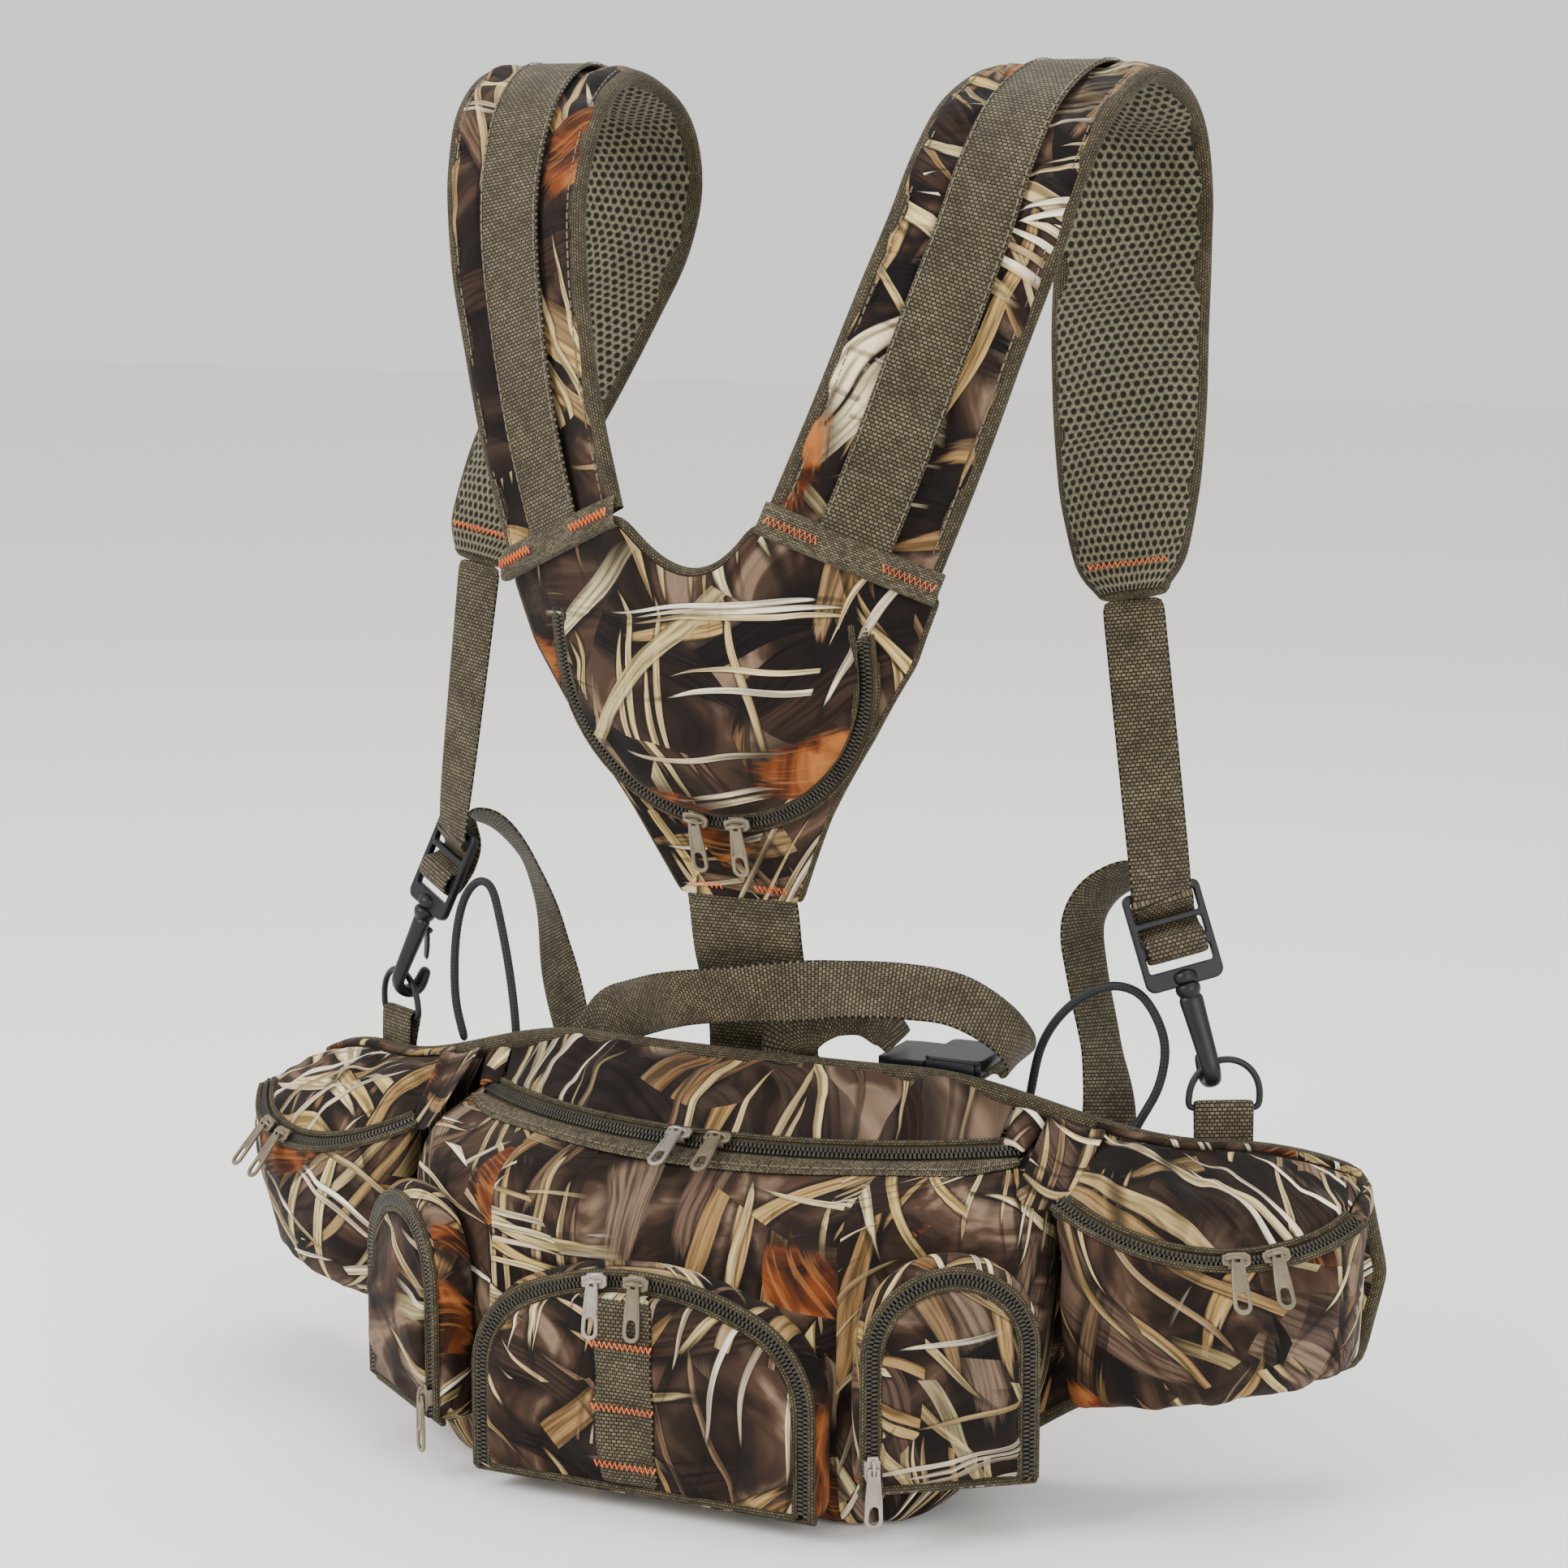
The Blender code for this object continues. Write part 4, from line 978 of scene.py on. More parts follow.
main_bag = panel(
    "main_bag_shell", bag_rows, CAMO, "pack", ["main_bag"], closed=True, floor=True, thick=0.0012,
    cut=bag_panels,
)
seam_columns = [j for j, x in enumerate(even_columns(0.1)) if abs(abs(x) - FRONT_SEAM) < 0.0005]
seam_columns += [0, FRONT_COUNT - 1, *range(FRONT_COUNT, len(rim))]
bag_seams = set(borders(BAG_ROWS, len(rim), closed=True))
bag_seams |= {i * len(rim) + j for i in range(BAG_ROWS) for j in seam_columns}
bag_seams |= {(BAG_ROWS - 2) * len(rim) + j for j in range(len(rim))}
fill(main_bag, sorted(bag_seams), pressure=2.5, cap=0.004)
rumple(main_bag, 0.028, 0.0022, bag_seams)
print("main bag rows", BAG_ROWS, "points round", len(rim))

# %% [markdown]
# A grosgrain band, 11 mm wide, hides the raw edge where the zip's front tape is sewn to the bag.

# %% Grosgrain band in front of the main zip
band_rows = []
for j in range(FRONT_COUNT):
    edge, below = rings[-1][j], rings[-2][j]
    down = (below - edge).normalized()
    wide = 0.011 - 0.005 * ease((abs(edge.x) - 0.104) / 0.018)
    band_rows.append([
        edge + down * (0.0002 + wide * s) + MAIN_ZIP_FACE * (
            0.0018 + 0.0006 * math.sin(math.pi * s)
        )
        for s in (0, 0.25, 0.5, 0.75, 1)
    ])
panel("main_zip_band", band_rows, GROSGRAIN, "pack", toward=MAIN_ZIP_FACE, thick=0.0012)
band_line = [row[3] for row in band_rows]
lockstitch("main_zip_band_stitch", band_line, [MAIN_ZIP_FACE] * len(band_line), "pack", high=0.0006)
print("band", round(running(band_line)[-1], 3), "m long")

# %% Main zip
def main_zip_point(angle):
    """A point of the zip's centre line and the way its face looks."""
    radial = Vector((math.sin(angle), -math.cos(angle), 0))
    face = (radial * 0.72 + UP * 0.69).normalized()
    return Vector((0, ARC_MIDDLE_Y, ZIP_Z)) + radial * ARC_RADIUS, face


reach = math.asin(0.1195 / ARC_RADIUS)
line, ups = zip(*[main_zip_point(reach * u) for u in spread(49)])
zip_half("main_zip_front", list(line), list(ups), 1, "pack", reach=0.0052)
zip_half("main_zip_rear", list(line), list(ups), -1, "main_lid", reach=0.0075, sink=0.0006)
print("main zip", round(running(line)[-1], 3), "m")

# %% [markdown]
# ## The lid of the main bag
# The lid is cut as one panel between the back edge and the curved zip. Its front edge is turned
# under and edged with binding, so that the coil shows as a dark strip beside it.

# %% Main lid
# Cloth at each end of the zip: its lid side from back to front, then its outer side
LID_GUSSET = (
    (0.1150, 0.0500, 0.1575), (0.1130, 0.0345, 0.1398), (0.1290, 0.0500, 0.1480),
    (0.1235, 0.0335, 0.1382),
)
lid_rows = []
for i in range(15):
    s = i / 14
    row = []
    for u in spread(33):
        x = u * (0.1145 - 0.002 * s)
        back = Vector((x, back_y(x) + 0.003, top_z(x) - 0.002))
        front = Vector((x, zip_arc_y(x, ARC_RADIUS - ZIP_HALF), ZIP_Z + 0.0034))
        row.append(back.lerp(front, s) + UP * (0.004 * math.sin(math.pi * s) * (1 - u**4)))
    lid_rows.append(row)
main_lid = panel(
    "main_lid_panel", lid_rows, CAMO, "main_lid", ["main_lid"], toward=UP, thick=0.0014,
    chart=lambda p: (p.x, p.y - 0.6 * p.z),
)
lid_seams = borders(15, 33)
fill(main_lid, lid_seams, pressure=3.0, cap=0.006, slack=-0.05)
rumple(main_lid, 0.030, 0.0024, lid_seams)
lid_edge = [p + UP * 0.0004 for p in lid_rows[-1]]
tube("main_lid_edge_binding", lid_edge, (0.0013,), BINDING, "main_lid")
for word, side in SIDES:
    rows = patch(*(mirrored(p, side) for p in LID_GUSSET), 5, 5, 0.002)
    panel(f"main_zip_end_gusset_{word}", rows, CAMO, "pack", toward=UP, thick=0.0012)
print("lid filled")

# %% [markdown]
# ## Back panel
# The panel that rests on the wearer is a 9 mm foam sheet: camouflage cloth toward the bag, air
# mesh toward the wearer, quilted with five stitched lines so that air can pass between the ridges,
# and a binding tape folded over the whole edge.


# %% Back panel, its quilted mesh and its edge
def quilt(x):
    """1 between the quilting lines, lower on them."""
    return min(
        1.0, 0.45 + 0.55 * min(abs(abs(x) - line) for line in (0.0, 0.055, 0.115, 0.175)) / 0.006
    )


def back_point(u, v, off):
    x = u * BACK_HALF * (1 - 0.03 * abs(4 * v - 2) / 2)
    low, high = bottom_z(x), top_z(x) - 0.004
    return Vector((x, back_y(x) + off, low + (high - low) * v))


face_rows, mesh_rows = [], []
for i in range(15):
    v = i / 14
    face_rows.append(
        [back_point(u, v, 0.0004 + 0.0034 * ease((v - 0.9) / 0.1)) for u in spread(49)]
    )
    near_edge = min(1.0, 6 * min(v, 1 - v) + 0.35)
    lift = [
        near_edge * quilt(u * BACK_HALF) * min(1.0, 12 * (1 - abs(u)) + 0.35) for u in spread(97)
    ]
    mesh_rows.append([back_point(u, v, 0.0022 + 0.0078 * h) for u, h in zip(spread(97), lift)])
panel("back_panel_cloth", face_rows, CAMO, "pack", ["back_panel"], toward=-AHEAD)
back_mesh = panel("back_panel_mesh", mesh_rows, AIR_MESH, "pack", toward=AHEAD)
outline = [back_point(u, 0, 0.0042) for u in spread(49)]
outline += [back_point(1, v / 12, 0.0042) for v in range(1, 12)]
outline += [back_point(-u, 1, 0.0042) for u in spread(49)]
outline += [back_point(-1, 1 - v / 12, 0.0042) for v in range(1, 13)]
tube("back_panel_edge_binding", outline, (0.0044,), BINDING, "pack", sides=10, levels=1)
for line in (-0.175, -0.115, -0.055, 0.0, 0.055, 0.115, 0.175):
    low = Vector((line, back_y(line) + 0.0062, bottom_z(line) + 0.012))
    path = [low + UP * (top_z(line) - low.z - 0.018) * k / 12 for k in range(13)]
    lockstitch(f"back_panel_quilting_{round(1000 * line) + 200}", path, [AHEAD] * 13, "pack")
print("back panel quilted")

# %% [markdown]
# ## Front pockets
# Three pockets have arched doors. Each is a 13 mm gusset sewn to the bag, a coil zip round the
# arch and a door hinged along its bottom edge. Both edges of the zip are covered by a narrow
# binding. The door is a padded panel, so it gets a cloth simulation with its edge held.


# %% Arch outlines
def arch_top(x, shape):
    """Height of the arch over a distance from its middle."""
    half, top, crown, corner = shape
    turn = math.asin((half - corner) / (crown - corner))
    side = abs(x)
    if side <= crown * math.sin(turn):
        return top - crown + math.sqrt(crown**2 - side**2)
    middle_x = (crown - corner) * math.sin(turn)
    middle_z = top - crown + (crown - corner) * math.cos(turn)
    return middle_z + math.sqrt(max(corner**2 - (side - middle_x) ** 2, 0.0))


def drawn_in(shape, inset):
    return tuple(size - inset for size in shape)


def arch_line(shape, low):
    """From the bottom left over the arch to the bottom right, as (across, up)."""
    half = shape[0]
    shoulder = arch_top(half, shape)
    over = [(x, arch_top(x, shape)) for x in (half * math.sin(math.pi / 2 * u) for u in spread(41))]
    down = [(half, shoulder + (low - shoulder) * k / 8) for k in range(1, 9)]
    return [(-x, z) for x, z in reversed(down)] + over + down


DEPTH = 0.013
# Arch (half width, height, crown and corner radius), foot height, place, across, out, door body
POCKETS = {
    "center": (
        (0.074, 0.099, 0.120, 0.040), 0.008, Vector((0, -0.0445, 0)), RIGHT, -AHEAD, "center_door"
    ),
}
for word, side in SIDES:
    POCKETS[f"side_{word}"] = (
        (0.0345, 0.110, 0.0350, 0.0330), 0.022, mirrored((0.1125, -0.0235, 0), side),
        *turned_out(37, side),
        f"side_door_{word}",
    )


# %% A pocket: gusset, zip, bindings and door
def front_pocket(word, shape, low, at, across, out, door_body):
    node = "center_pocket" if word == "center" else f"side_pocket_{word[5:]}"
    ground = at + out * 0.001

    def place(x, z, deep):
        return ground + across * x + UP * z + out * deep

    wall = []
    outline = arch_line(shape, low)
    outline += [(x, low) for x in (shape[0] * 0.5, 0.0, -shape[0] * 0.5)]
    for deep, swell in (
        (-0.004, 0.0), (0.002, 0.0012), (0.006, 0.0018), (0.010, 0.0014), (DEPTH - 0.0006, 0.0)
    ):
        scale = 1 + swell / shape[0]
        wall.append([place(x * scale, low + (z - low) * scale, deep) for x, z in outline])
    gusset = panel(f"{node}_gusset", wall, CAMO, "pack", [node], closed=True, thick=0.0012)
    rumple(gusset, 0.016, 0.0010, borders(5, len(outline), closed=True))
    tops = [(x, arch_top(x, shape) - low) for x in (u * shape[0] * 0.98 for u in spread(11))]
    back = [[place(x, low + top * v / 4, 0.0064) for x, top in tops] for v in range(5)]
    panel(f"{node}_lining", back, LINING, "pack", toward=out, levels=0)
    middle = drawn_in(shape, ZIP_HALF)
    line = [place(x, z, DEPTH) for x, z in arch_line(middle, low + 0.004)]
    faces = [out] * len(line)
    zip_half(f"{word}_zip_outer", line, faces, -1, "pack", reach=0.0044, sink=0.0008)
    zip_half(f"{word}_zip_inner", line, faces, 1, door_body, reach=0.0044, sink=0.0008)
    edge = [place(x, z, DEPTH + 0.0002) for x, z in arch_line(drawn_in(shape, 0.0004), low + 0.003)]
    foot = [place(-shape[0] * u, low + 0.0008, DEPTH - 0.0024) for u in spread(13)]
    edge = foot[-1:] + edge + foot
    tube(f"{node}_edge_binding", edge, (0.0015,), BINDING, "pack")
    door = drawn_in(shape, 2 * ZIP_HALF + 0.0008)
    rows = []
    for i in range(19):
        v = i / 18
        row = []
        for u in spread(29):
            x = door[0] * math.sin(math.pi / 2 * u)
            z = low + 0.003 + (arch_top(x, door) - low - 0.003) * v
            swell = 0.0045 * (math.sin(math.pi * v) ** 0.5) * (1 - u**6)
            row.append(place(x, z, DEPTH + 0.0006 + swell))
        rows.append(row)
    cloth = panel(
        f"{door_body}_panel", rows, CAMO, door_body, [door_body], toward=out, thick=0.0012,
        chart=lambda p: ((p - ground).dot(across), p.z),
    )
    seams = borders(19, 29)
    fill(cloth, seams, pressure=3.5, cap=0.0055, slack=-0.04)
    rumple(cloth, 0.030, 0.0018, seams)
    edge = [place(x, z, DEPTH + 0.0006) for x, z in arch_line(drawn_in(door, -0.0004), low + 0.003)]
    tube(f"{door_body}_edge_binding", edge, (0.0014,), BINDING, door_body)
    hem = [place(door[0] * u, low + 0.0026, DEPTH + 0.0002) for u in spread(25)]
    tube(f"{door_body}_hem", hem, (0.0016,), BINDING, "pack")
    return cloth


doors = {word: front_pocket(word, *facts) for word, facts in POCKETS.items()}
print("front pockets", len(doors))

# %% [markdown]
# ## The webbing ladder
# A strip of webbing runs down the centre door and is tacked across at even heights, so that small
# tools can be clipped into it. It has to lie on the filled cloth, so each of its points is dropped
# onto the door from in front.

# %% Drop points onto a piece
from mathutils.bvhtree import BVHTree


def surface_of(obj):
    graph = bpy.context.evaluated_depsgraph_get()
    return BVHTree.FromObject(obj, graph)


def dropped(tree, start, way, lift):
    """Where a ray first meets a surface, lifted back by a little."""
    hit = tree.ray_cast(start, way)[0]
    return (hit if hit else start + way * 0.02) - way * lift


LADDER_X = -0.0040
WEB = 0.025
LADDER_TOP, LADDER_FOOT = 0.0895, 0.0125
door_surface = surface_of(doors["center"])


def on_door(off, z, lift):
    """A point just in front of the centre door, off beside the ladder's middle."""
    return dropped(door_surface, Vector((LADDER_X + off, -0.12, z)), AHEAD, lift)


ladder_rows = []
for k in range(23):
    z = LADDER_TOP - (LADDER_TOP - LADDER_FOOT) * k / 22
    ladder_rows.append([on_door(s * WEB / 2, z, 0.0012) for s in spread(7)])
panel("center_door_ladder", ladder_rows, WEBBING, "center_door", toward=-AHEAD, thick=0.0014)
for order, z in enumerate((0.0715, 0.0455, 0.0215)):
    left, right = (on_door(s * 0.0132, z, 0.0020) for s in (-1, 1))
    bartack(f"ladder_bartack_{order + 1}", left, right, -AHEAD, "center_door")
print("ladder rows", len(ladder_rows))

# %% [markdown]
# ## End pouches
# A pouch with a half-moon lid sits on each wing. Its tub is lofted like the main bag; the zip runs
# round the front, and the lid is a filled panel sewn along the back edge.

# %% Pouch measures
POUCH_IN = Vector((0.1440, 0.0170, 0.1250))
POUCH_OUT = Vector((0.2500, 0.0670, 0.1180))
# Cloth bridging bag and pouch: its bag side from front to back, then its pouch side
WING_CORNERS = (
    (0.1300, 0.0060, 0.1290), (0.1290, 0.0480, 0.1540), (0.1470, 0.0160, 0.1240),
    (0.1520, 0.0535, 0.1480),
)


# %% The arc of the pouch's zip
def pouch_arc(inset=0.0, count=11, low=POUCH_IN, high=POUCH_OUT, bulge=0.022, drop=0.014, trim=1.0):
    """Points on a circular arc from the inner to the outer end, leaning down at its middle."""
    chord = high - low
    along = chord.normalized()
    out = Vector((along.y, -along.x, 0)).normalized() * bulge - UP * drop
    rise = out.length
    out.normalize()
    radius = ((chord.length / 2) ** 2 + rise**2) / (2 * rise)
    middle = (low + high) / 2 - out * (radius - rise)
    half = math.asin(chord.length / 2 / radius)
    turns = [a * half * trim for a in spread(count)]
    points = [middle + (radius - inset) * (out * math.cos(a) + along * math.sin(a)) for a in turns]
    return points, middle, along, out, radius, half


def pouch_back(u, lift=0.0):
    x = 0.1465 + 0.0985 * u
    return Vector((x, back_y(x) - 0.0004, top_z(x) - lift))


# %% Both end pouches
POUCH_LEVELS = (
    (0.042, 0.052, 0.012, 0.012), (0.050, 0.060, 0.004, 0.018), (0.092, 0.090, 0.0, 0.024)
)


def end_pouch(word, side):
    count = 27
    rings = []
    for z_in, z_out, draw, bulge in POUCH_LEVELS:
        low = Vector((POUCH_IN.x + draw, POUCH_IN.y + draw * 0.4, z_in))
        high = Vector((POUCH_OUT.x - draw, POUCH_OUT.y - draw * 0.1, z_out))
        back = []
        for k in range(9):
            spot = pouch_back(1 - k / 8)
            back.append(Vector((spot.x, spot.y, z_in + (z_out - z_in) * (1 - k / 8))))
        rings.append(pouch_arc(0, count, low, high, bulge, 0)[0] + back)
    rings.append(pouch_arc(-ZIP_HALF, count)[0] + [pouch_back(1 - k / 8, 0.012) for k in range(9)])
    rings = [[mirrored(p, side) for p in ring] for ring in rings]
    columns = [smooth_path([ring[j] for ring in rings], 13) for j in range(count + 9)]
    rows = [[column[i] for column in columns] for i in range(13)]
    tub = panel(
        f"end_pouch_{word}_tub", rows, CAMO, "pack", [f"end_pouch_{word}"], closed=True, floor=True,
        thick=0.0012
    )
    seams = set(borders(13, count + 9, closed=True))
    seams |= {i * (count + 9) + j for i in range(13) for j in range(count, count + 9)}
    fill(tub, sorted(seams), pressure=3.0, cap=0.005)
    rumple(tub, 0.026, 0.0022, seams)
    front, middle, along, lean, radius, half = pouch_arc(ZIP_HALF + 0.0006, count, trim=0.97)
    rows = []
    for i in range(12):
        s = i / 11
        row = []
        for k, edge in enumerate(front):
            u = k / (count - 1)
            back = pouch_back(0.02 + 0.96 * u, 0.003) - AHEAD * 0.001
            dome = 0.005 * math.sin(math.pi * s) * math.sin(math.pi * u)
            row.append(mirrored(back.lerp(edge + UP * 0.0015, s) + UP * dome, side))
        rows.append(row)
    body = f"end_lid_{word}"
    lid = panel(
        f"{body}_panel", rows, CAMO, body, [body], toward=UP, thick=0.0013,
        chart=lambda p: (p.x, p.y * 1.2 - p.z * 0.5)
    )
    seams = borders(12, count)
    fill(lid, seams, pressure=3.5, cap=0.006, slack=-0.05)
    rumple(lid, 0.024, 0.0020, seams)
    edge = [p + UP * 0.0002 for p in rows[-1]]
    tube(f"{body}_edge_binding", edge, (0.0015,), BINDING, body)
    line, ups = [], []
    for a in spread(41):
        turn = a * half
        way = lean * math.cos(turn) + along * math.sin(turn)
        line.append(mirrored(middle + radius * way, side))
        ups.append(mirrored(Vector((way.x * 0.75, way.y * 0.75, 0.66)), side).normalized())
    zip_half(f"end_zip_{word}_outer", line, ups, side, "pack", reach=0.0050)
    zip_half(f"end_zip_{word}_inner", line, ups, -side, body, reach=0.0050)
    rim = [mirrored(p, side) + UP * 0.0004 for p in pouch_arc(-ZIP_HALF, count)[0]]
    tube(f"end_pouch_{word}_edge_binding", rim, (0.0014,), BINDING, "pack")
    hem = [mirrored(pouch_back(0.95 * k / 20, 0.0015), side) for k in range(21)]
    tube(f"end_pouch_{word}_hinge_seam", hem, (0.0016,), CAMO, "pack")
    rim_end = pouch_arc(-ZIP_HALF, count)[0][-1]
    back_low, back_high = pouch_back(1, 0.012), pouch_back(0.985, 0.0005)
    under = pouch_arc(ZIP_HALF, count, trim=0.93)[0][-1]
    rows = []
    for t in (0, 0.25, 0.5, 0.75, 1):
        low, high = rim_end.lerp(back_low, t), (rim_end + UP * 0.002).lerp(back_high, t)
        tuck = under.lerp(pouch_back(0.94, 0.004), t) - UP * 0.0012
        wall = [low.lerp(high, s) + RIGHT * 0.0008 for s in (0, 0.5, 1)]
        rows.append([mirrored(p, side) for p in (*wall, tuck)])
    panel(f"end_pouch_{word}_end_gusset", rows, CAMO, "pack", toward=RIGHT * side, thick=0.0012)
    rows = patch(*(mirrored(p, side) for p in WING_CORNERS), 6, 5, -0.0035)
    panel(f"end_pouch_{word}_wing_cloth", rows, CAMO, "pack", toward=UP, thick=0.0012)


for word, side in SIDES:
    end_pouch(word, side)
print("end pouches", len(SIDES))

# %% [markdown]
# ## Yoke
# The heart-shaped panel between the shoulders is a flat pocket. Its lower half opens along a
# U-shaped zip; the print runs on over the fold at its top, so panel and door share one flat chart.
# The neck edge is scooped and bound.

# %% Yoke measures
YOKE_BOTTOM = 0.231
YOKE_ARC, YOKE_ARC_Z, YOKE_DOOR_TOP = 0.066, 0.331, 0.350
YOKE_OUT = Vector((0, -1, -0.325)).normalized()


def yoke_y(x, z):
    rise = z - YOKE_BOTTOM
    return 0.033 - 0.325 * rise + 3.3 * rise / 0.15 * x * x


def yoke_top(x):
    if abs(x) < 0.030:
        return 0.366 + 0.021 * (x / 0.030) ** 2
    return 0.387 - 0.025 * (abs(x) - 0.030) / 0.063


def yoke_chart(p):
    return (p.x, p.z * 1.05)


# %% Yoke panel, inner mesh and edges
def yoke_row(v, lift):
    half = blended((0.0255, 0.0430, 0.0640, 0.0820, 0.0930), v)
    row = []
    for u in spread(41):
        x = u * half
        z = YOKE_BOTTOM + (yoke_top(x) - YOKE_BOTTOM) * v
        row.append(Vector((x, yoke_y(x, z), z)) + YOKE_OUT * lift(x, z, u, v))
    return row


def yoke_crown(_, z, u, v):
    """Flush with the door above its fold, flat below it."""
    inside = min(1.0, 5 * (1 - abs(u))) * min(1.0, 14 * (1 - v) + 0.3)
    return 0.0004 + 0.0034 * ease((z - 0.338) / 0.012) * inside


yoke_rows = [yoke_row(k / 28, yoke_crown) for k in range(29)]
yoke = panel(
    "yoke_panel_cloth", yoke_rows, CAMO, "pack", ["yoke_panel"], toward=YOKE_OUT, chart=yoke_chart
)
YOKE_SHIFT = print_shift("yoke_panel_cloth")
rumple(yoke, 0.035, 0.0012, borders(29, 41))
back_rows = [
    yoke_row(k / 16, lambda _, __, u, v: -0.0036 - 0.003 * (1 - u**4) * math.sin(math.pi * v))
    for k in range(17)
]
yoke_mesh = panel("yoke_panel_mesh", back_rows, AIR_MESH, "pack", toward=-YOKE_OUT)
inner_rows = [yoke_row(k / 28, lambda *_: -0.0034) for k in range(29)]
rim_line = [(a + b) / 2 for a, b in zip(yoke_row(1, lambda *_: 0.0), inner_rows[-1])]
tube("yoke_neck_binding", rim_line[8:33], (0.0026,), BINDING, "pack", levels=1)
for word, index in (("left", 0), ("right", -1)):
    edge = [(a[index] + b[index]) / 2 for a, b in zip(yoke_rows[:28], inner_rows)]
    tube(f"yoke_side_binding_{word}", edge, (0.0021,), BINDING, "pack", levels=1)
print("yoke rows", len(yoke_rows))


# %% Yoke door and its zip
def yoke_u(radius, count):
    """The U from the top left round the bottom to the top right, as (x, z)."""
    down = [(radius, YOKE_DOOR_TOP - (YOKE_DOOR_TOP - YOKE_ARC_Z) * k / 6) for k in range(7)]
    bow = [(x, YOKE_ARC_Z - z) for x, z in arc_points(0, 0, radius, 0, 90, count)[1:-1]]
    half = down + bow
    return [(-x, z) for x, z in half] + [(0.0, YOKE_ARC_Z - radius)] + list(reversed(half))


def on_yoke(x, z, lift):
    return Vector((x, yoke_y(x, z), z)) + YOKE_OUT * lift


inside = YOKE_ARC - ZIP_HALF
door_shift = [a - b for a, b in zip(YOKE_SHIFT, print_shift("yoke_door_panel"))]
door_rows = []
for i in range(23):
    v = i / 22
    row = []
    for u in spread(35):
        x = inside * math.sin(math.pi / 2 * u)
        foot = YOKE_ARC_Z - math.sqrt(max(inside**2 - x * x, 0.0))
        z = YOKE_DOOR_TOP + (foot - YOKE_DOOR_TOP) * v
        swell = 0.0055 * math.sin(math.pi * v) ** 0.7 * (1 - u**4)
        row.append(on_yoke(x, z, 0.0036 + swell))
    door_rows.append(row)
yoke_door = panel(
    "yoke_door_panel", door_rows, CAMO, "yoke_door", ["yoke_door"], toward=YOKE_OUT, thick=0.0013,
    chart=lambda p: tuple(place + shift for place, shift in zip(yoke_chart(p), door_shift)),
)
door_seams = borders(23, 35)
fill(yoke_door, door_seams, pressure=3.0, cap=0.004)
rumple(yoke_door, 0.040, 0.0016, door_seams)
line = [on_yoke(x, z, 0.0018) for x, z in yoke_u(YOKE_ARC, 18)]
zip_half("yoke_zip_outer", line, [YOKE_OUT] * len(line), 1, "pack", reach=0.0046, sink=0.0006)
zip_half("yoke_zip_inner", line, [YOKE_OUT] * len(line), -1, "yoke_door", reach=0.0046, sink=0.0)
edge = [on_yoke(x, z, 0.0034) for x, z in yoke_u(inside - 0.0003, 18)]
tube("yoke_door_edge_binding", edge, (0.0014,), BINDING, "yoke_door")
edge = [on_yoke(x, z, 0.0014) for x, z in yoke_u(YOKE_ARC + ZIP_HALF + 0.0006, 18)[5:-5]]
tube("yoke_panel_zip_binding", edge, (0.0012,), BINDING, "pack")
print("yoke zip", round(running(line)[-1], 3), "m")

# %% [markdown]
# ## Shoulder pads
# Each pad is a foam strip with camouflage cloth outside and air mesh inside, its edges wrapped in
# binding tape. A 30 mm webbing is stitched down the middle of the outside and carries the load, so
# the pad swells only beside it. The faces are built along one route with a frame at every point,
# then filled by cloth simulation with the stitched lines held.

# %% Route, direction and width of a pad
STRAP_POINTS = (
    (0.0620, 0.0030, 0.3780), (0.0770, 0.0110, 0.4200), (0.0895, 0.0215, 0.4615),
    (0.0990, 0.0330, 0.4950),
    (0.1040, 0.0450, 0.5210), (0.1085, 0.0650, 0.5440), (0.1135, 0.0970, 0.5570),
    (0.1155, 0.1290, 0.5520),
    (0.1155, 0.1540, 0.5370), (0.1160, 0.1640, 0.5120), (0.1185, 0.1570, 0.4850),
    (0.1240, 0.1400, 0.4560),
    (0.1310, 0.1220, 0.4250), (0.1380, 0.1040, 0.3940), (0.1440, 0.0900, 0.3680),
    (0.1468, 0.0840, 0.3560),
)
STRAP_ACROSS = (
    (0.93, 0.36, -0.33), (0.97, 0.25, 0.0), (1, 0.1, 0), (1, -0.05, 0), (1, -0.05, 0), (1, 0.1, 0),
    (0.97, 0.14, 0.2),
)
STRAP_WIDTHS = (
    0.070, 0.069, 0.068, 0.068, 0.069, 0.070, 0.070, 0.070, 0.069, 0.068, 0.067, 0.065, 0.062,
    0.056, 0.044, 0.026,
)


# %% The frame of a strap at every point of its route
STRAP_COUNT = 73


class StrapRoute:
    """Points of a shoulder pad with the directions across it and out of it."""

    def __init__(self, side):
        self.path = [mirrored(p, side) for p in smooth_path(STRAP_POINTS, STRAP_COUNT)]
        across = [mirrored(a, side) for a in STRAP_ACROSS]
        self.across, self.out, self.half = [], [], []
        for k, way in enumerate(headings(self.path)):
            u = k / (STRAP_COUNT - 1)
            wide = blended(across, u)
            wide = (wide - wide.dot(way) * way).normalized()
            self.across.append(wide)
            self.out.append(side * wide.cross(way))
            self.half.append(blended(STRAP_WIDTHS, u) / 2)

    def at(self, k, s, lift):
        """s across from -1 to 1 of the half width, lift outward in metres."""
        return self.path[k] + self.across[k] * self.half[k] * s + self.out[k] * lift

    def rows(self, columns, lift):
        return [[self.at(k, s, lift(s, k)) for s in columns] for k in range(STRAP_COUNT)]

    def beside(self, k, s, inset, lift=0.0):
        """A point inset from the edge on one side, s being 1 or -1."""
        return self.at(k, 0, lift) + self.across[k] * s * (self.half[k] - inset)


JUNCTION_HALF = 0.0375  # half width of the band where pad and yoke meet


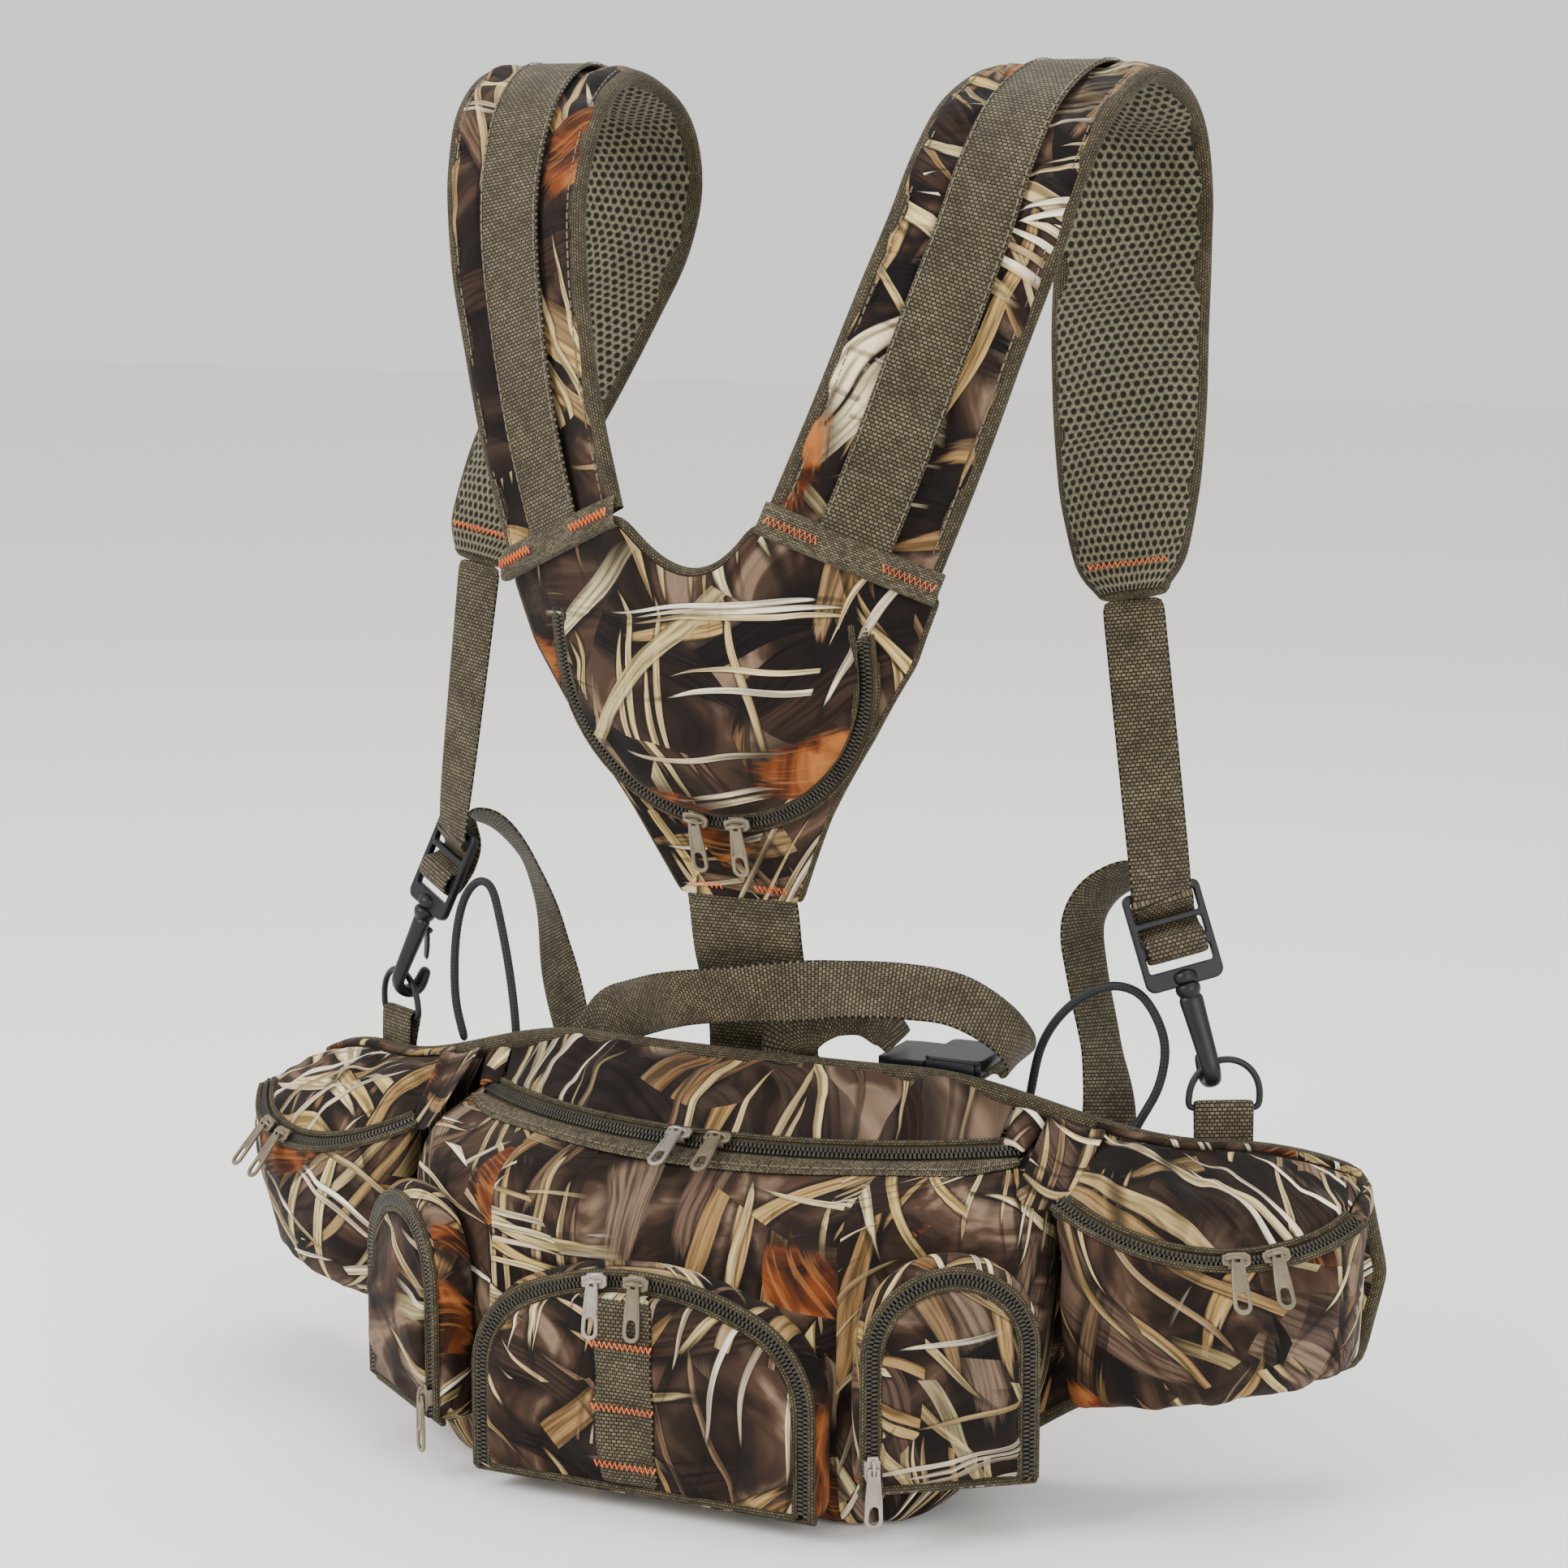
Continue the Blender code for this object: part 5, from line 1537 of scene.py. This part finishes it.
def strap_pad(word, side):
    route = StrapRoute(side)
    last = len(route.path) - 1
    columns = [s * 0.93 for s in spread(27)]
    seam = 0.43

    def crown(s, k):
        end = min(1.0, 0.5 + 6 * min(k, last - k) / last)
        return 0.0026 + 0.0022 * end * math.sin(math.pi * min(1.0, (0.95 - abs(s)) / 0.52)) ** 0.8

    cloth = panel(
        f"shoulder_pad_{word}", route.rows(columns, crown), CAMO, "pack",
        [f"shoulder_strap_{word}"],
        toward=route.out[0] * 0.01 + Vector((0, -0.3, 1)),
    )
    held = set(borders(last + 1, 27))
    held |= {k * 27 + j for k in range(last + 1) for j in range(27) if abs(columns[j]) < seam}
    fill(cloth, sorted(held), pressure=4.0, cap=0.003)
    rumple(cloth, 0.030, 0.0013, held)
    mesh_rows = route.rows(columns, lambda s, k: -0.0026 - 0.0022 * (1 - abs(s) ** 3))
    inner = panel(f"shoulder_mesh_{word}", mesh_rows, AIR_MESH, "pack", toward=Vector((0, 0.3, -1)))
    tack = round(last * 0.705)
    held = set(borders(last + 1, 27)) | {tack * 27 + j for j in range(8, 19)}
    fill(inner, sorted(held), pressure=4.0, cap=0.003)
    rumple(inner, 0.040, 0.0008, held)
    for name, sign in (("outer", 1), ("inner", -1)):
        rows = []
        for k in range(last + 1):
            middle = route.beside(k, sign, 0.0032)
            rows.append(oval(middle, route.out[k] * 0.0034, route.across[k] * 0.0040, 12))
        panel(f"shoulder_{name}_binding_{word}", rows, BINDING, "pack", closed=True)
        line = [route.beside(k, sign, 0.0054, 0.0030) for k in range(last - 1)]
        lockstitch(
            f"shoulder_{name}_stitch_{word}", line, route.out[: last - 1], "pack", high=0.0006
        )
    web = [route.at(k, 0.0, 0.0054) for k in range(last + 1)]
    widths = [min(0.030, 2 * h * 0.95) for h in route.half]
    band(
        f"shoulder_webbing_{word}", web, route.across, widths, WEBBING, "pack", columns=7,
        thick=0.0015
    )
    for name, s in (("outer", 1), ("inner", -1)):
        line = [web[k] + route.across[k] * s * (widths[k] / 2 - 0.0016) for k in range(1, last - 2)]
        lockstitch(
            f"shoulder_webbing_stitch_{name}_{word}", line, route.out[1 : last - 2], "pack",
            high=0.0009
        )
    start, out, wide = route.at(0, 0, 0.0062), route.out[0], route.across[0]
    ahead = headings(route.path)[0]
    rows = []
    for t in (0, 0.35, 0.7, 1):
        middle = start + ahead * (0.0135 * t - 0.0085) + out * 0.0042 * (1 - t)
        rows.append(
            [middle + wide * JUNCTION_HALF * s - out * 0.0022 * abs(s) ** 3 for s in spread(13)]
        )
    rows = [[p - out * 0.006 for p in rows[0]]] + rows + [[p - out * 0.003 for p in rows[-1]]]
    panel(f"yoke_junction_band_{word}", rows, GROSGRAIN, "pack", toward=out, thick=0.0011)
    for name, s in (("inner", -1), ("outer", 1)):
        a, b = (
            start - ahead * 0.0015 + wide * side * s * d + out * (
                0.0028 - 0.0018 * (d / JUNCTION_HALF) ** 3
            )
            for d in (0.0135, 0.0350)
        )
        bartack(f"junction_bartack_{name}_{word}", a, b, out, "pack", wide=0.0030)
    low = last - 4
    a, b = (route.at(low, s, -0.0062) for s in (-0.78, 0.78))
    bartack(f"pad_end_bartack_{word}", a, b, -route.out[low], "pack", wide=0.0022)
    a, b = (route.at(tack, s, -0.0032) for s in (-0.40, 0.40))
    tube(
        f"mesh_tack_{word}", [a.lerp(b, t / 8) for t in range(9)], (0.0009,), QUIET_THREAD, "pack",
        sides=6
    )
    rows = []
    for k in (last - 1, last):
        rows.append(
            oval(
                route.path[k], route.out[k] * 0.0036, route.across[k] * (route.half[k] + 0.0004), 16
            )
        )
    ahead = headings(route.path)[-1]
    rows = [[p - ahead * 0.004 for p in rows[0]]] + rows + [[p + ahead * 0.0015 for p in rows[-1]]]
    rows.append([route.path[-1] + ahead * 0.002 + (p - route.path[-1]) * 0.2 for p in rows[-1]])
    panel(f"pad_end_cap_{word}", rows, BINDING, "pack", closed=True)
    return route


routes = {word: strap_pad(word, side) for word, side in SIDES}
print("shoulder pads", {word: round(running(route.path)[-1], 3) for word, route in routes.items()})

# %% [markdown]
# ## Webbing, adjusters and snap hooks
# Below each pad a 25 mm webbing runs through a ladder adjuster, doubles back round its lower bar
# and ends as a loose tail. The adjuster's eye carries a swivel snap hook, whose nose is closed by
# a thin sprung gate. The webbing is one flat band along the whole route, so that it passes through
# the slots.

# %% Route of the webbing
WING_TURN = 28  # degrees that hooks and D-rings are turned with the wings of the bag
HOOK_AXIS = Vector((0.36, -0.14, -0.92))
ADJUSTER_AT = Vector((0.1650, 0.0830, 0.2250))
D_RING_AT = Vector((0.1893, 0.0824, 0.1525))
TAILS = {
    -1: (
        (-0.1608, 0.0925, 0.2410), (-0.1499, 0.0980, 0.2400), (-0.1384, 0.1040, 0.2250),
        (-0.1307, 0.1080, 0.2032), (-0.1223, 0.1020, 0.1795), (-0.1090, 0.0900, 0.1560),
        (-0.0980, 0.0820, 0.1250),
    ),
    1: (
        (0.1550, 0.0925, 0.2440), (0.1340, 0.0960, 0.2360), (0.1224, 0.1000, 0.2190),
        (0.1245, 0.1000, 0.1972), (0.1332, 0.0940, 0.1694), (0.1400, 0.0860, 0.1450),
        (0.1400, 0.0800, 0.1150),
    ),
}
TAIL_ACROSS = {
    -1: ((0.70, -0.60, 0.4), (0.60, -0.75, 0.3), (0.90, -0.40, 0.10), (0.93, -0.35, 0)),
    1: ((0.75, 0.60, -0.3), (0.45, 0.90, 0.0), (0.30, 0.95, 0.10), (0.90, 0.40, 0)),
}
ROUND_THE_BARS = (
    (-0.0125, -0.0034), (-0.0090, -0.0030), (-0.0062, 0.0004), (-0.0036, 0.0034), (0.0, 0.0034),
    (0.0032, 0.0008),
    (0.0052, -0.0028), (0.0092, -0.0036), (0.0124, -0.0028), (0.0136, 0.0004), (0.0118, 0.0044),
    (0.0040, 0.0068),
    (-0.0080, 0.0078),
)  # down the hook's axis and toward the wearer, metres


# %% Adjuster and hook on each side
def hook_frame(side):
    """Along the hook, across it, and toward the wearer."""
    along = mirrored(HOOK_AXIS, side).normalized()
    across, _ = turned_out(WING_TURN, side)
    across = (across - across.dot(along) * along).normalized()
    inward = across.cross(along)
    return along, across, inward if inward.y > 0 else -inward


def hanging_webbing(word, side):
    along, across, inward = hook_frame(side)
    at = mirrored(ADJUSTER_AT, side)
    start = mirrored(STRAP_POINTS[-1], side) + Vector((side * 0.0004, -0.0006, -0.0016))
    knots = [start] + [
        start.lerp(at - along * 0.012 - inward * 0.0034, share) for share in (0.33, 0.66, 0.88)
    ]
    knots += [at + along * down + inward * inside for down, inside in ROUND_THE_BARS]
    knots += vectors(*TAILS[side])
    path = smooth_path(knots, 118)
    first = turned_out(14, side)[0] + UP * 0.05
    widths = [first, first.lerp(across, 0.5)] + [across] * 7
    widths += vectors(*TAIL_ACROSS[side])
    band(
        f"hanging_webbing_{word}", path, widths, (WEB, WEB), WEBBING, "pack",
        [f"strap_webbing_{word}"]
    )
    end, before = path[-1], path[-4]
    fold = [before.lerp(end, t) + (end - before).normalized() * 0.001 for t in (0, 0.35, 0.7, 1.0)]
    band(
        f"tail_hem_{word}", fold, [widths[-1]] * 2, (WEB + 0.0008,) * 2, WEBBING, "pack",
        thick=0.0030
    )
    return running(path)[-1]


def adjuster_and_hook(word, side):
    along, across, inward = hook_frame(side)
    at = mirrored(ADJUSTER_AT, side)
    outlines = [rounded_outline(-0.0160, 0.0160, -0.0152, 0.0252, 0.004, 0.003, 6)]
    for low, high in ((-0.0118, -0.0030), (-0.0004, 0.0066), (0.0110, 0.0176)):
        outlines.append(rounded_outline(-0.0132, 0.0132, low, high, 0.001, 0.001, 3))
    plate(
        f"adjuster_frame_{word}", outlines, 0.0034, ACETAL, "pack", (across, along), at,
        [f"adjuster_{word}"],
        edge=0.0007,
    )
    lug = [at + along * (0.0196 + 0.0012 * k) for k in range(5)]
    tube(
        f"adjuster_eye_{word}", lug, (0.0046, 0.0052, 0.0052, 0.0046), ACETAL, "pack", sides=16,
        levels=1
    )
    top = at + along * 0.0252
    hook = f"snap_hook_{word}"
    collar = [top + along * d for d in (-0.0010, 0.0, 0.0012, 0.0030, 0.0046, 0.0060)]
    tube(
        f"{hook}_collar", collar, (0.0034, 0.0050, 0.0054, 0.0050, 0.0040, 0.0030), ACETAL, hook,
        sides=16, levels=1
    )
    bend = 0.0060
    shaft = [top + along * d for d in (0.004, 0.007, 0.010, 0.018, 0.026, 0.033)]
    base = shaft[-1] + inward * bend
    turns = [0.35 * k for k in range(1, 9)] + [3.14]
    shaft += [base + bend * (-inward * math.cos(a) + along * math.sin(a)) for a in turns]
    shaft += [shaft[-1] - along * d for d in (0.003, 0.006)]
    radii = (0.0036, 0.0034, 0.0030, 0.0027, 0.0025, 0.0026, 0.0030, 0.0030, 0.0027, 0.0022)
    tube(
        f"{hook}_body", shaft, radii, ACETAL, hook, [hook], sides=14, levels=1, first=across,
        squash=1.45
    )
    foot = top + along * 0.0085 + inward * 0.0040
    tip = foot + along * 0.0145 + inward * 0.0058
    strip = [
        foot - along * 0.001 - inward * 0.001, foot, foot.lerp(tip, 0.5) + inward * 0.0006, tip
    ]
    gate = f"hook_gate_{word}"
    band(
        f"hook_gate_strip_{word}", strip, [across] * 2, (0.0038, 0.0046, 0.0040), ACETAL, gate,
        [gate], columns=4
    )
    pin = [foot + across * s * 0.0036 for s in (-1, -0.5, 0.5, 1)]
    tube(f"hook_gate_pin_{word}", pin, (0.0012,), WIRE, hook, sides=10)


webbing_lengths = {word: hanging_webbing(word, side) for word, side in SIDES}
for word, side in SIDES:
    adjuster_and_hook(word, side)
print("hanging webbing", {word: round(length, 3) for word, length in webbing_lengths.items()})

# %% [markdown]
# ## D-rings and their tabs
# Each hook clips to a wire D-ring, 3 mm thick, held by a folded webbing tab that is sewn between
# the back panel and the end pouch.


# %% D-rings
for word, side in SIDES:
    across, out = turned_out(WING_TURN, side)
    bar = mirrored(D_RING_AT, side)
    tilt = Vector((side * 0.05, 0, 1)).normalized()
    half = 0.0142
    foot = [(half * s, 0.0) for s in (0.0, 0.4, 0.8)] + [
        (half - 0.0004, 0.0006), (half, 0.0025), (half, 0.005)
    ]
    turns = [math.pi * k / 16 for k in range(1, 16)]
    bow = [(half * math.cos(a), 0.005 + 0.0152 * math.sin(a)) for a in turns]
    ring = [
        bar + across * x + tilt * y for x, y in foot + bow + [(-x, y) for x, y in reversed(foot)]
    ]
    tube(
        f"d_ring_wire_{word}", ring, (0.0015,), WIRE, f"d_ring_{word}", [f"d_ring_{word}"],
        sides=10, levels=1
    )
    drop = UP * (0.1305 - bar.z)
    loop = [bar + out * 0.0030 + drop, bar + out * 0.0032 + drop / 2]
    loop += [bar + out * x + UP * y for x, y in arc_points(0, 0, 0.0028, 0, 180, 8)]
    loop += [bar + out * 0.0002 + drop / 2, bar + out * 0.0006 + drop]
    tab = f"d_ring_tab_{word}"
    band(f"{tab}_webbing", loop, [across] * 2, (WEB - 0.001,) * 2, WEBBING, "pack", [tab])
print("d-rings threaded")

# %% [markdown]
# ## Elastic tie loops
# Two loops of braided elastic, 4 mm thick, stand up behind the bag; both ends of each are sewn
# into the back edge, so their far end is the object itself.

# %% Routes of the loops
LOOPS = {
    "left": (
        (-0.1500, 0.0690, 0.1480), (-0.1548, 0.0700, 0.1660), (-0.1550, 0.0710, 0.1900),
        (-0.1520, 0.0730, 0.2080),
        (-0.1455, 0.0740, 0.2170), (-0.1385, 0.0740, 0.2150), (-0.1335, 0.0730, 0.2000),
        (-0.1285, 0.0710, 0.1800),
        (-0.1245, 0.0680, 0.1620), (-0.1215, 0.0645, 0.1450),
    ),
    "right": (
        (0.1080, 0.0790, 0.1480), (0.1120, 0.0800, 0.1690), (0.1205, 0.0790, 0.1836),
        (0.1320, 0.0790, 0.1938),
        (0.1447, 0.0790, 0.1987), (0.1564, 0.0800, 0.1943), (0.1649, 0.0800, 0.1781),
        (0.1635, 0.0790, 0.1601),
        (0.1560, 0.0760, 0.1440), (0.1500, 0.0705, 0.1300),
    ),
}

# %% Loops
for word, route in LOOPS.items():
    path = smooth_path(route, 40)
    loop = tube(
        f"tie_loop_{word}", path, (0.0020,), ELASTIC, "pack", [f"elastic_loop_{word}"], sides=10,
        levels=1
    )
    print("tie loop", word, round(running(path)[-1], 3), "m")

# %% [markdown]
# ## Spine webbing and waist belt
# A 50 mm webbing joins the yoke to the back of the bag. The waist belt, 25 mm, is folded up and
# clipped behind the lid: both halves are flat bands that turn over at their folds, one ending in
# the socket of a side-release buckle and the other in its plug.


# %% Spine and belt
def behind(x, z, off=0.0022):
    """A point on the wearer's side of the back panel, further off where the wings turn."""
    return Vector((x, back_y(x) + PAD + off + 0.012 * abs(x), z))


SPINE_POINTS = (
    (0, 0.0352, 0.2298), (0, 0.0410, 0.2050), (0, 0.0500, 0.1850), (0, 0.0545, 0.1680),
    (0, 0.0535, 0.1450), (0, 0.0488, 0.1200), (0, 0.0475, 0.0900),
)
spine = smooth_path(SPINE_POINTS, 41)
spine[0] += Vector((0, -0.0022, 0.0060))
band(
    "spine_webbing_band", spine, [RIGHT] * 2, (0.050,) * 2, WEBBING, "pack", ["spine_webbing"],
    columns=9, thick=0.0015
)
for word, s in SIDES:
    a = Vector((0.0215 * s, yoke_y(0.02, 0.2355) - 0.0002, 0.2355))
    bartack(f"spine_bartack_{word}", a, a - RIGHT * 0.014 * s, YOKE_OUT, "pack")
left = [
    behind(x, z, 0.0024) for x,
    z in ((-0.226, 0.088), (-0.190, 0.090), (-0.150, 0.096), (-0.115, 0.112))
]
left += vectors(
    (-0.0930, 0.0620, 0.1420), (-0.0778, 0.0610, 0.1651), (-0.0568, 0.0510, 0.1754),
    (-0.0285, 0.0345, 0.1858),
    (0.0012, 0.0295, 0.1915), (0.0316, 0.0310, 0.1958), (0.0525, 0.0330, 0.1980),
    (0.0724, 0.0370, 0.1980),
    (0.0913, 0.0420, 0.1952), (0.1060, 0.0500, 0.1850), (0.1110, 0.0580, 0.1745),
    (0.1085, 0.0640, 0.1668),
    (0.0993, 0.0655, 0.1652),
)
left_across = vectors(
    (0, 0, 1), (0, 0, 1), (0.2, 0.05, 1), (0.2, 0.1, 1), (0, -0.3, 0.9), (0, -0.2, 0.9),
    (0, 0.5, 0.8),
    (0.1, 0.6, 0.7), (0.1, 0.8, 0.5), (0.1, 0.95, 0.2), (0, 1, 0.1),
)
left_path = smooth_path(left, 110)
band("belt_left_band", left_path, left_across, (WEB, WEB), WEBBING, "pack", ["belt_webbing_left"])
right = vectors(
    (0.0560, 0.0655, 0.1692), (0.0500, 0.0640, 0.1760), (0.0440, 0.0560, 0.1850),
    (0.0350, 0.0445, 0.1862),
    (0.0240, 0.0430, 0.1800), (0.0165, 0.0445, 0.1700), (0.0170, 0.0475, 0.1600),
    (0.0270, 0.0488, 0.1490),
)
right += [behind(x, z, 0.0028) for x, z in (
    (0.050, 0.136), (0.064, 0.120), (0.080, 0.110), (0.110, 0.098), (0.140, 0.092), (0.175, 0.088),
    (0.200, 0.086),
    (0.226, 0.084),
)]
right_across = vectors(
    (0, 1, 0.2), (0, 0.9, 0.4), (0, 0.5, 0.85), (-0.1, 0, 1), (-0.6, 0, 0.75), (-0.95, 0, 0.3),
    (-0.95, 0, -0.3),
    (-0.6, 0, -0.8), (-0.4, 0, -0.9), (-0.2, 0, -1), *[(0, 0, -1)] * 6,
)
right_path = smooth_path(right, 110)
band(
    "belt_right_band", right_path, right_across, (WEB, WEB), WEBBING, "pack", ["belt_webbing_right"]
)
print("belt", round(running(left_path)[-1], 3), round(running(right_path)[-1], 3), "m")

# %% Side-release buckle
buckle_at = Vector((0, 0.0655, 0.1650))
flat_axes = (RIGHT, AHEAD)
face = [rounded_outline(0.0735, 0.0985, -0.0165, 0.0165, 0.0035, 0.0035, 5)]
for word, sign, stands_for in (("top", 1, ["buckle_socket"]), ("bottom", -1, ())):
    plate(
        f"buckle_socket_{word}", face, 0.0018, ACETAL, "pack", flat_axes,
        buckle_at + UP * 0.0033 * sign,
        stands_for, edge=0.0006,
    )
rails = [
    (buckle_at + RIGHT * x + AHEAD * y, RIGHT * long, AHEAD * wide, UP * 0.0030)
    for x, y, long, wide in (
        (0.0850, -0.0155, 0.0105, 0.0010), (0.0850, 0.0155, 0.0105, 0.0010),
        (0.0950, 0, 0.0030, 0.0150),
    )
]
blocks("buckle_socket_walls", rails, ACETAL, "pack", edge=0.0005)
half_plug = [
    (0.0530, -0.0140), (0.0600, -0.0155), (0.0725, -0.0155), (0.0740, -0.0135), (0.0850, -0.0130),
    (0.0860, -0.0085), (0.0750, -0.0090), (0.0750, -0.0030), (0.0840, -0.0020),
]
plug = half_plug + [(x, -y) for x, y in reversed(half_plug)]
plate(
    "buckle_plug_body", [plug], 0.0036, ACETAL, "buckle_plug", flat_axes, buckle_at,
    ["buckle_plug"], edge=0.0006
)
print("buckle made")

# %% [markdown]
# ## Sliders and pull tabs
# A slider is a small die-cast body that rides on the coil, with a bridge over it; the pull hangs
# from that bridge. The pull is stamped: narrow at the bridge, wider at the grip, with an oval
# hole. Each pair on the bag has one grey and one olive pull, as the two tapes were lacquered in
# two batches.


# %% One slider with its pull
SLIDER_TOP = (
    (-0.0029, -0.0010), (-0.0020, -0.0054), (0.0020, -0.0054), (0.0029, -0.0010), (0.0030, 0.0036),
    (0.0018, 0.0056), (-0.0018, 0.0056), (-0.0030, 0.0036),
)
SLIDER_BRIDGE = (
    (-0.0042, 0.0), (-0.0038, 0.0016), (-0.0018, 0.0024), (0.0008, 0.0024), (0.0030, 0.0015),
    (0.0038, 0.0),
)
half_pull = [(0.0022, -0.0010), (0.0027, 0.0040), (0.0034, 0.0120), (0.0036, 0.0194)]
PULL_OUTLINES = (
    half_pull + arc_points(0, 0.0194, 0.0036, 0, 180, 10)[1:-1] + [
        (-x, y) for x, y in reversed(half_pull)
    ],
    arc_points(0, 0.0192, 0.0021, 0, 180, 8) + arc_points(0, 0.0158, 0.0019, 180, 360, 8),
    ((-0.0010, -0.0004), (-0.0010, 0.0018), (0.0010, 0.0018), (0.0010, -0.0004)),
)


def slider_and_pull(stem, at, along, out, finish):
    """A slider on a point of the coil, facing out, with its pull hanging straight down."""
    along = along.normalized()
    out = (out - out.dot(along) * along).normalized()
    across = along.cross(out)
    top = at + out * 0.0041
    body = f"{stem}_slider"
    plate(
        f"{body}_top", [SLIDER_TOP], 0.0014, finish, body, (across, along), top, [body], edge=0.0004
    )
    wall = (along * 0.0034, across * 0.0004, out * 0.0012)
    walls = [(at + out * 0.0026 + across * s * 0.0027, *wall) for s in (-1, 1)]
    blocks(f"{body}_flanges", walls, finish, body, edge=0.0002)
    bridge = [top + along * y + out * z for y, z in SLIDER_BRIDGE]
    tube(f"{body}_bridge", smooth_path(bridge, 13), (0.0007,), finish, body)
    pivot = at + out * 0.0058
    down = (-UP + UP.dot(out) * out).normalized()
    flat = down.cross(out)
    pull = f"{stem}_pull"
    plate(
        f"{pull}_tab", PULL_OUTLINES, 0.0013, finish, pull, (flat, down), pivot, [pull], edge=0.0003
    )
    rib = (down * 0.0045, flat * 0.0004, out * 0.0002)
    ribs = [(pivot + down * 0.0085 + flat * s * 0.0022 + out * 0.0007, *rib) for s in (-1, 1)]
    blocks(f"{pull}_ribs", ribs, finish, pull, edge=0.00015)


# %% Every slider
for word, x, finish in (("left", -0.0085, ZINC_GREY), ("right", 0.0085, ZINC_OLIVE)):
    angle = math.asin(x / ARC_RADIUS)
    at = Vector((x, ARC_FRONT + ARC_RADIUS * (1 - math.cos(angle)), ZIP_Z))
    slider_and_pull(
        f"main_zip_{word}", at, Vector((math.cos(angle), math.sin(angle), 0)), MAIN_ZIP_FACE, finish
    )
crown = 0.120 - ZIP_HALF
for word, x, finish in (("left", -0.0175, ZINC_GREY), ("right", 0.0005, ZINC_OLIVE)):
    angle = math.asin(x / crown)
    at = Vector((0, -0.0585, -0.021)) + crown * Vector((math.sin(angle), 0, math.cos(angle)))
    run = Vector((math.cos(angle), 0, -math.sin(angle)))
    slider_and_pull(f"center_zip_{word}", at, run, Vector((0, -1, 0.12)), finish)
for word, side in SIDES:
    shape, low, ground, across, out, _ = POCKETS[f"side_{word}"]
    at = ground + across * -side * (shape[0] - ZIP_HALF) + out * (DEPTH + 0.001)
    at += UP * (low + 0.012)
    slider_and_pull(f"side_zip_{word}", at, -UP, out, ZINC_GREY if side > 0 else ZINC_OLIVE)
    points, middle, along, lean, radius, half = pouch_arc()
    for order, share in (("inner", 0.12), ("outer", 0.36)):
        a = share * half
        at = middle + radius * (lean * math.cos(a) + along * math.sin(a))
        run = along * math.cos(a) - lean * math.sin(a)
        facts = (mirrored(p, side) for p in (at, run, (lean.x * 0.9, lean.y * 0.9, 0.62)))
        slider_and_pull(f"end_zip_{word}_{order}", *facts, ZINC_OLIVE)
for word, x in (("left", -0.0115), ("right", 0.0065)):
    angle = math.asin(x / YOKE_ARC)
    z = YOKE_ARC_Z - YOKE_ARC * math.cos(angle)
    spot = Vector((x, yoke_y(x, z) - 0.002, z))
    run = Vector((math.cos(angle), 0, math.sin(angle)))
    slider_and_pull(f"yoke_zip_{word}", spot, run, YOKE_OUT, ZINC_OLIVE)
print("sliders", 12)
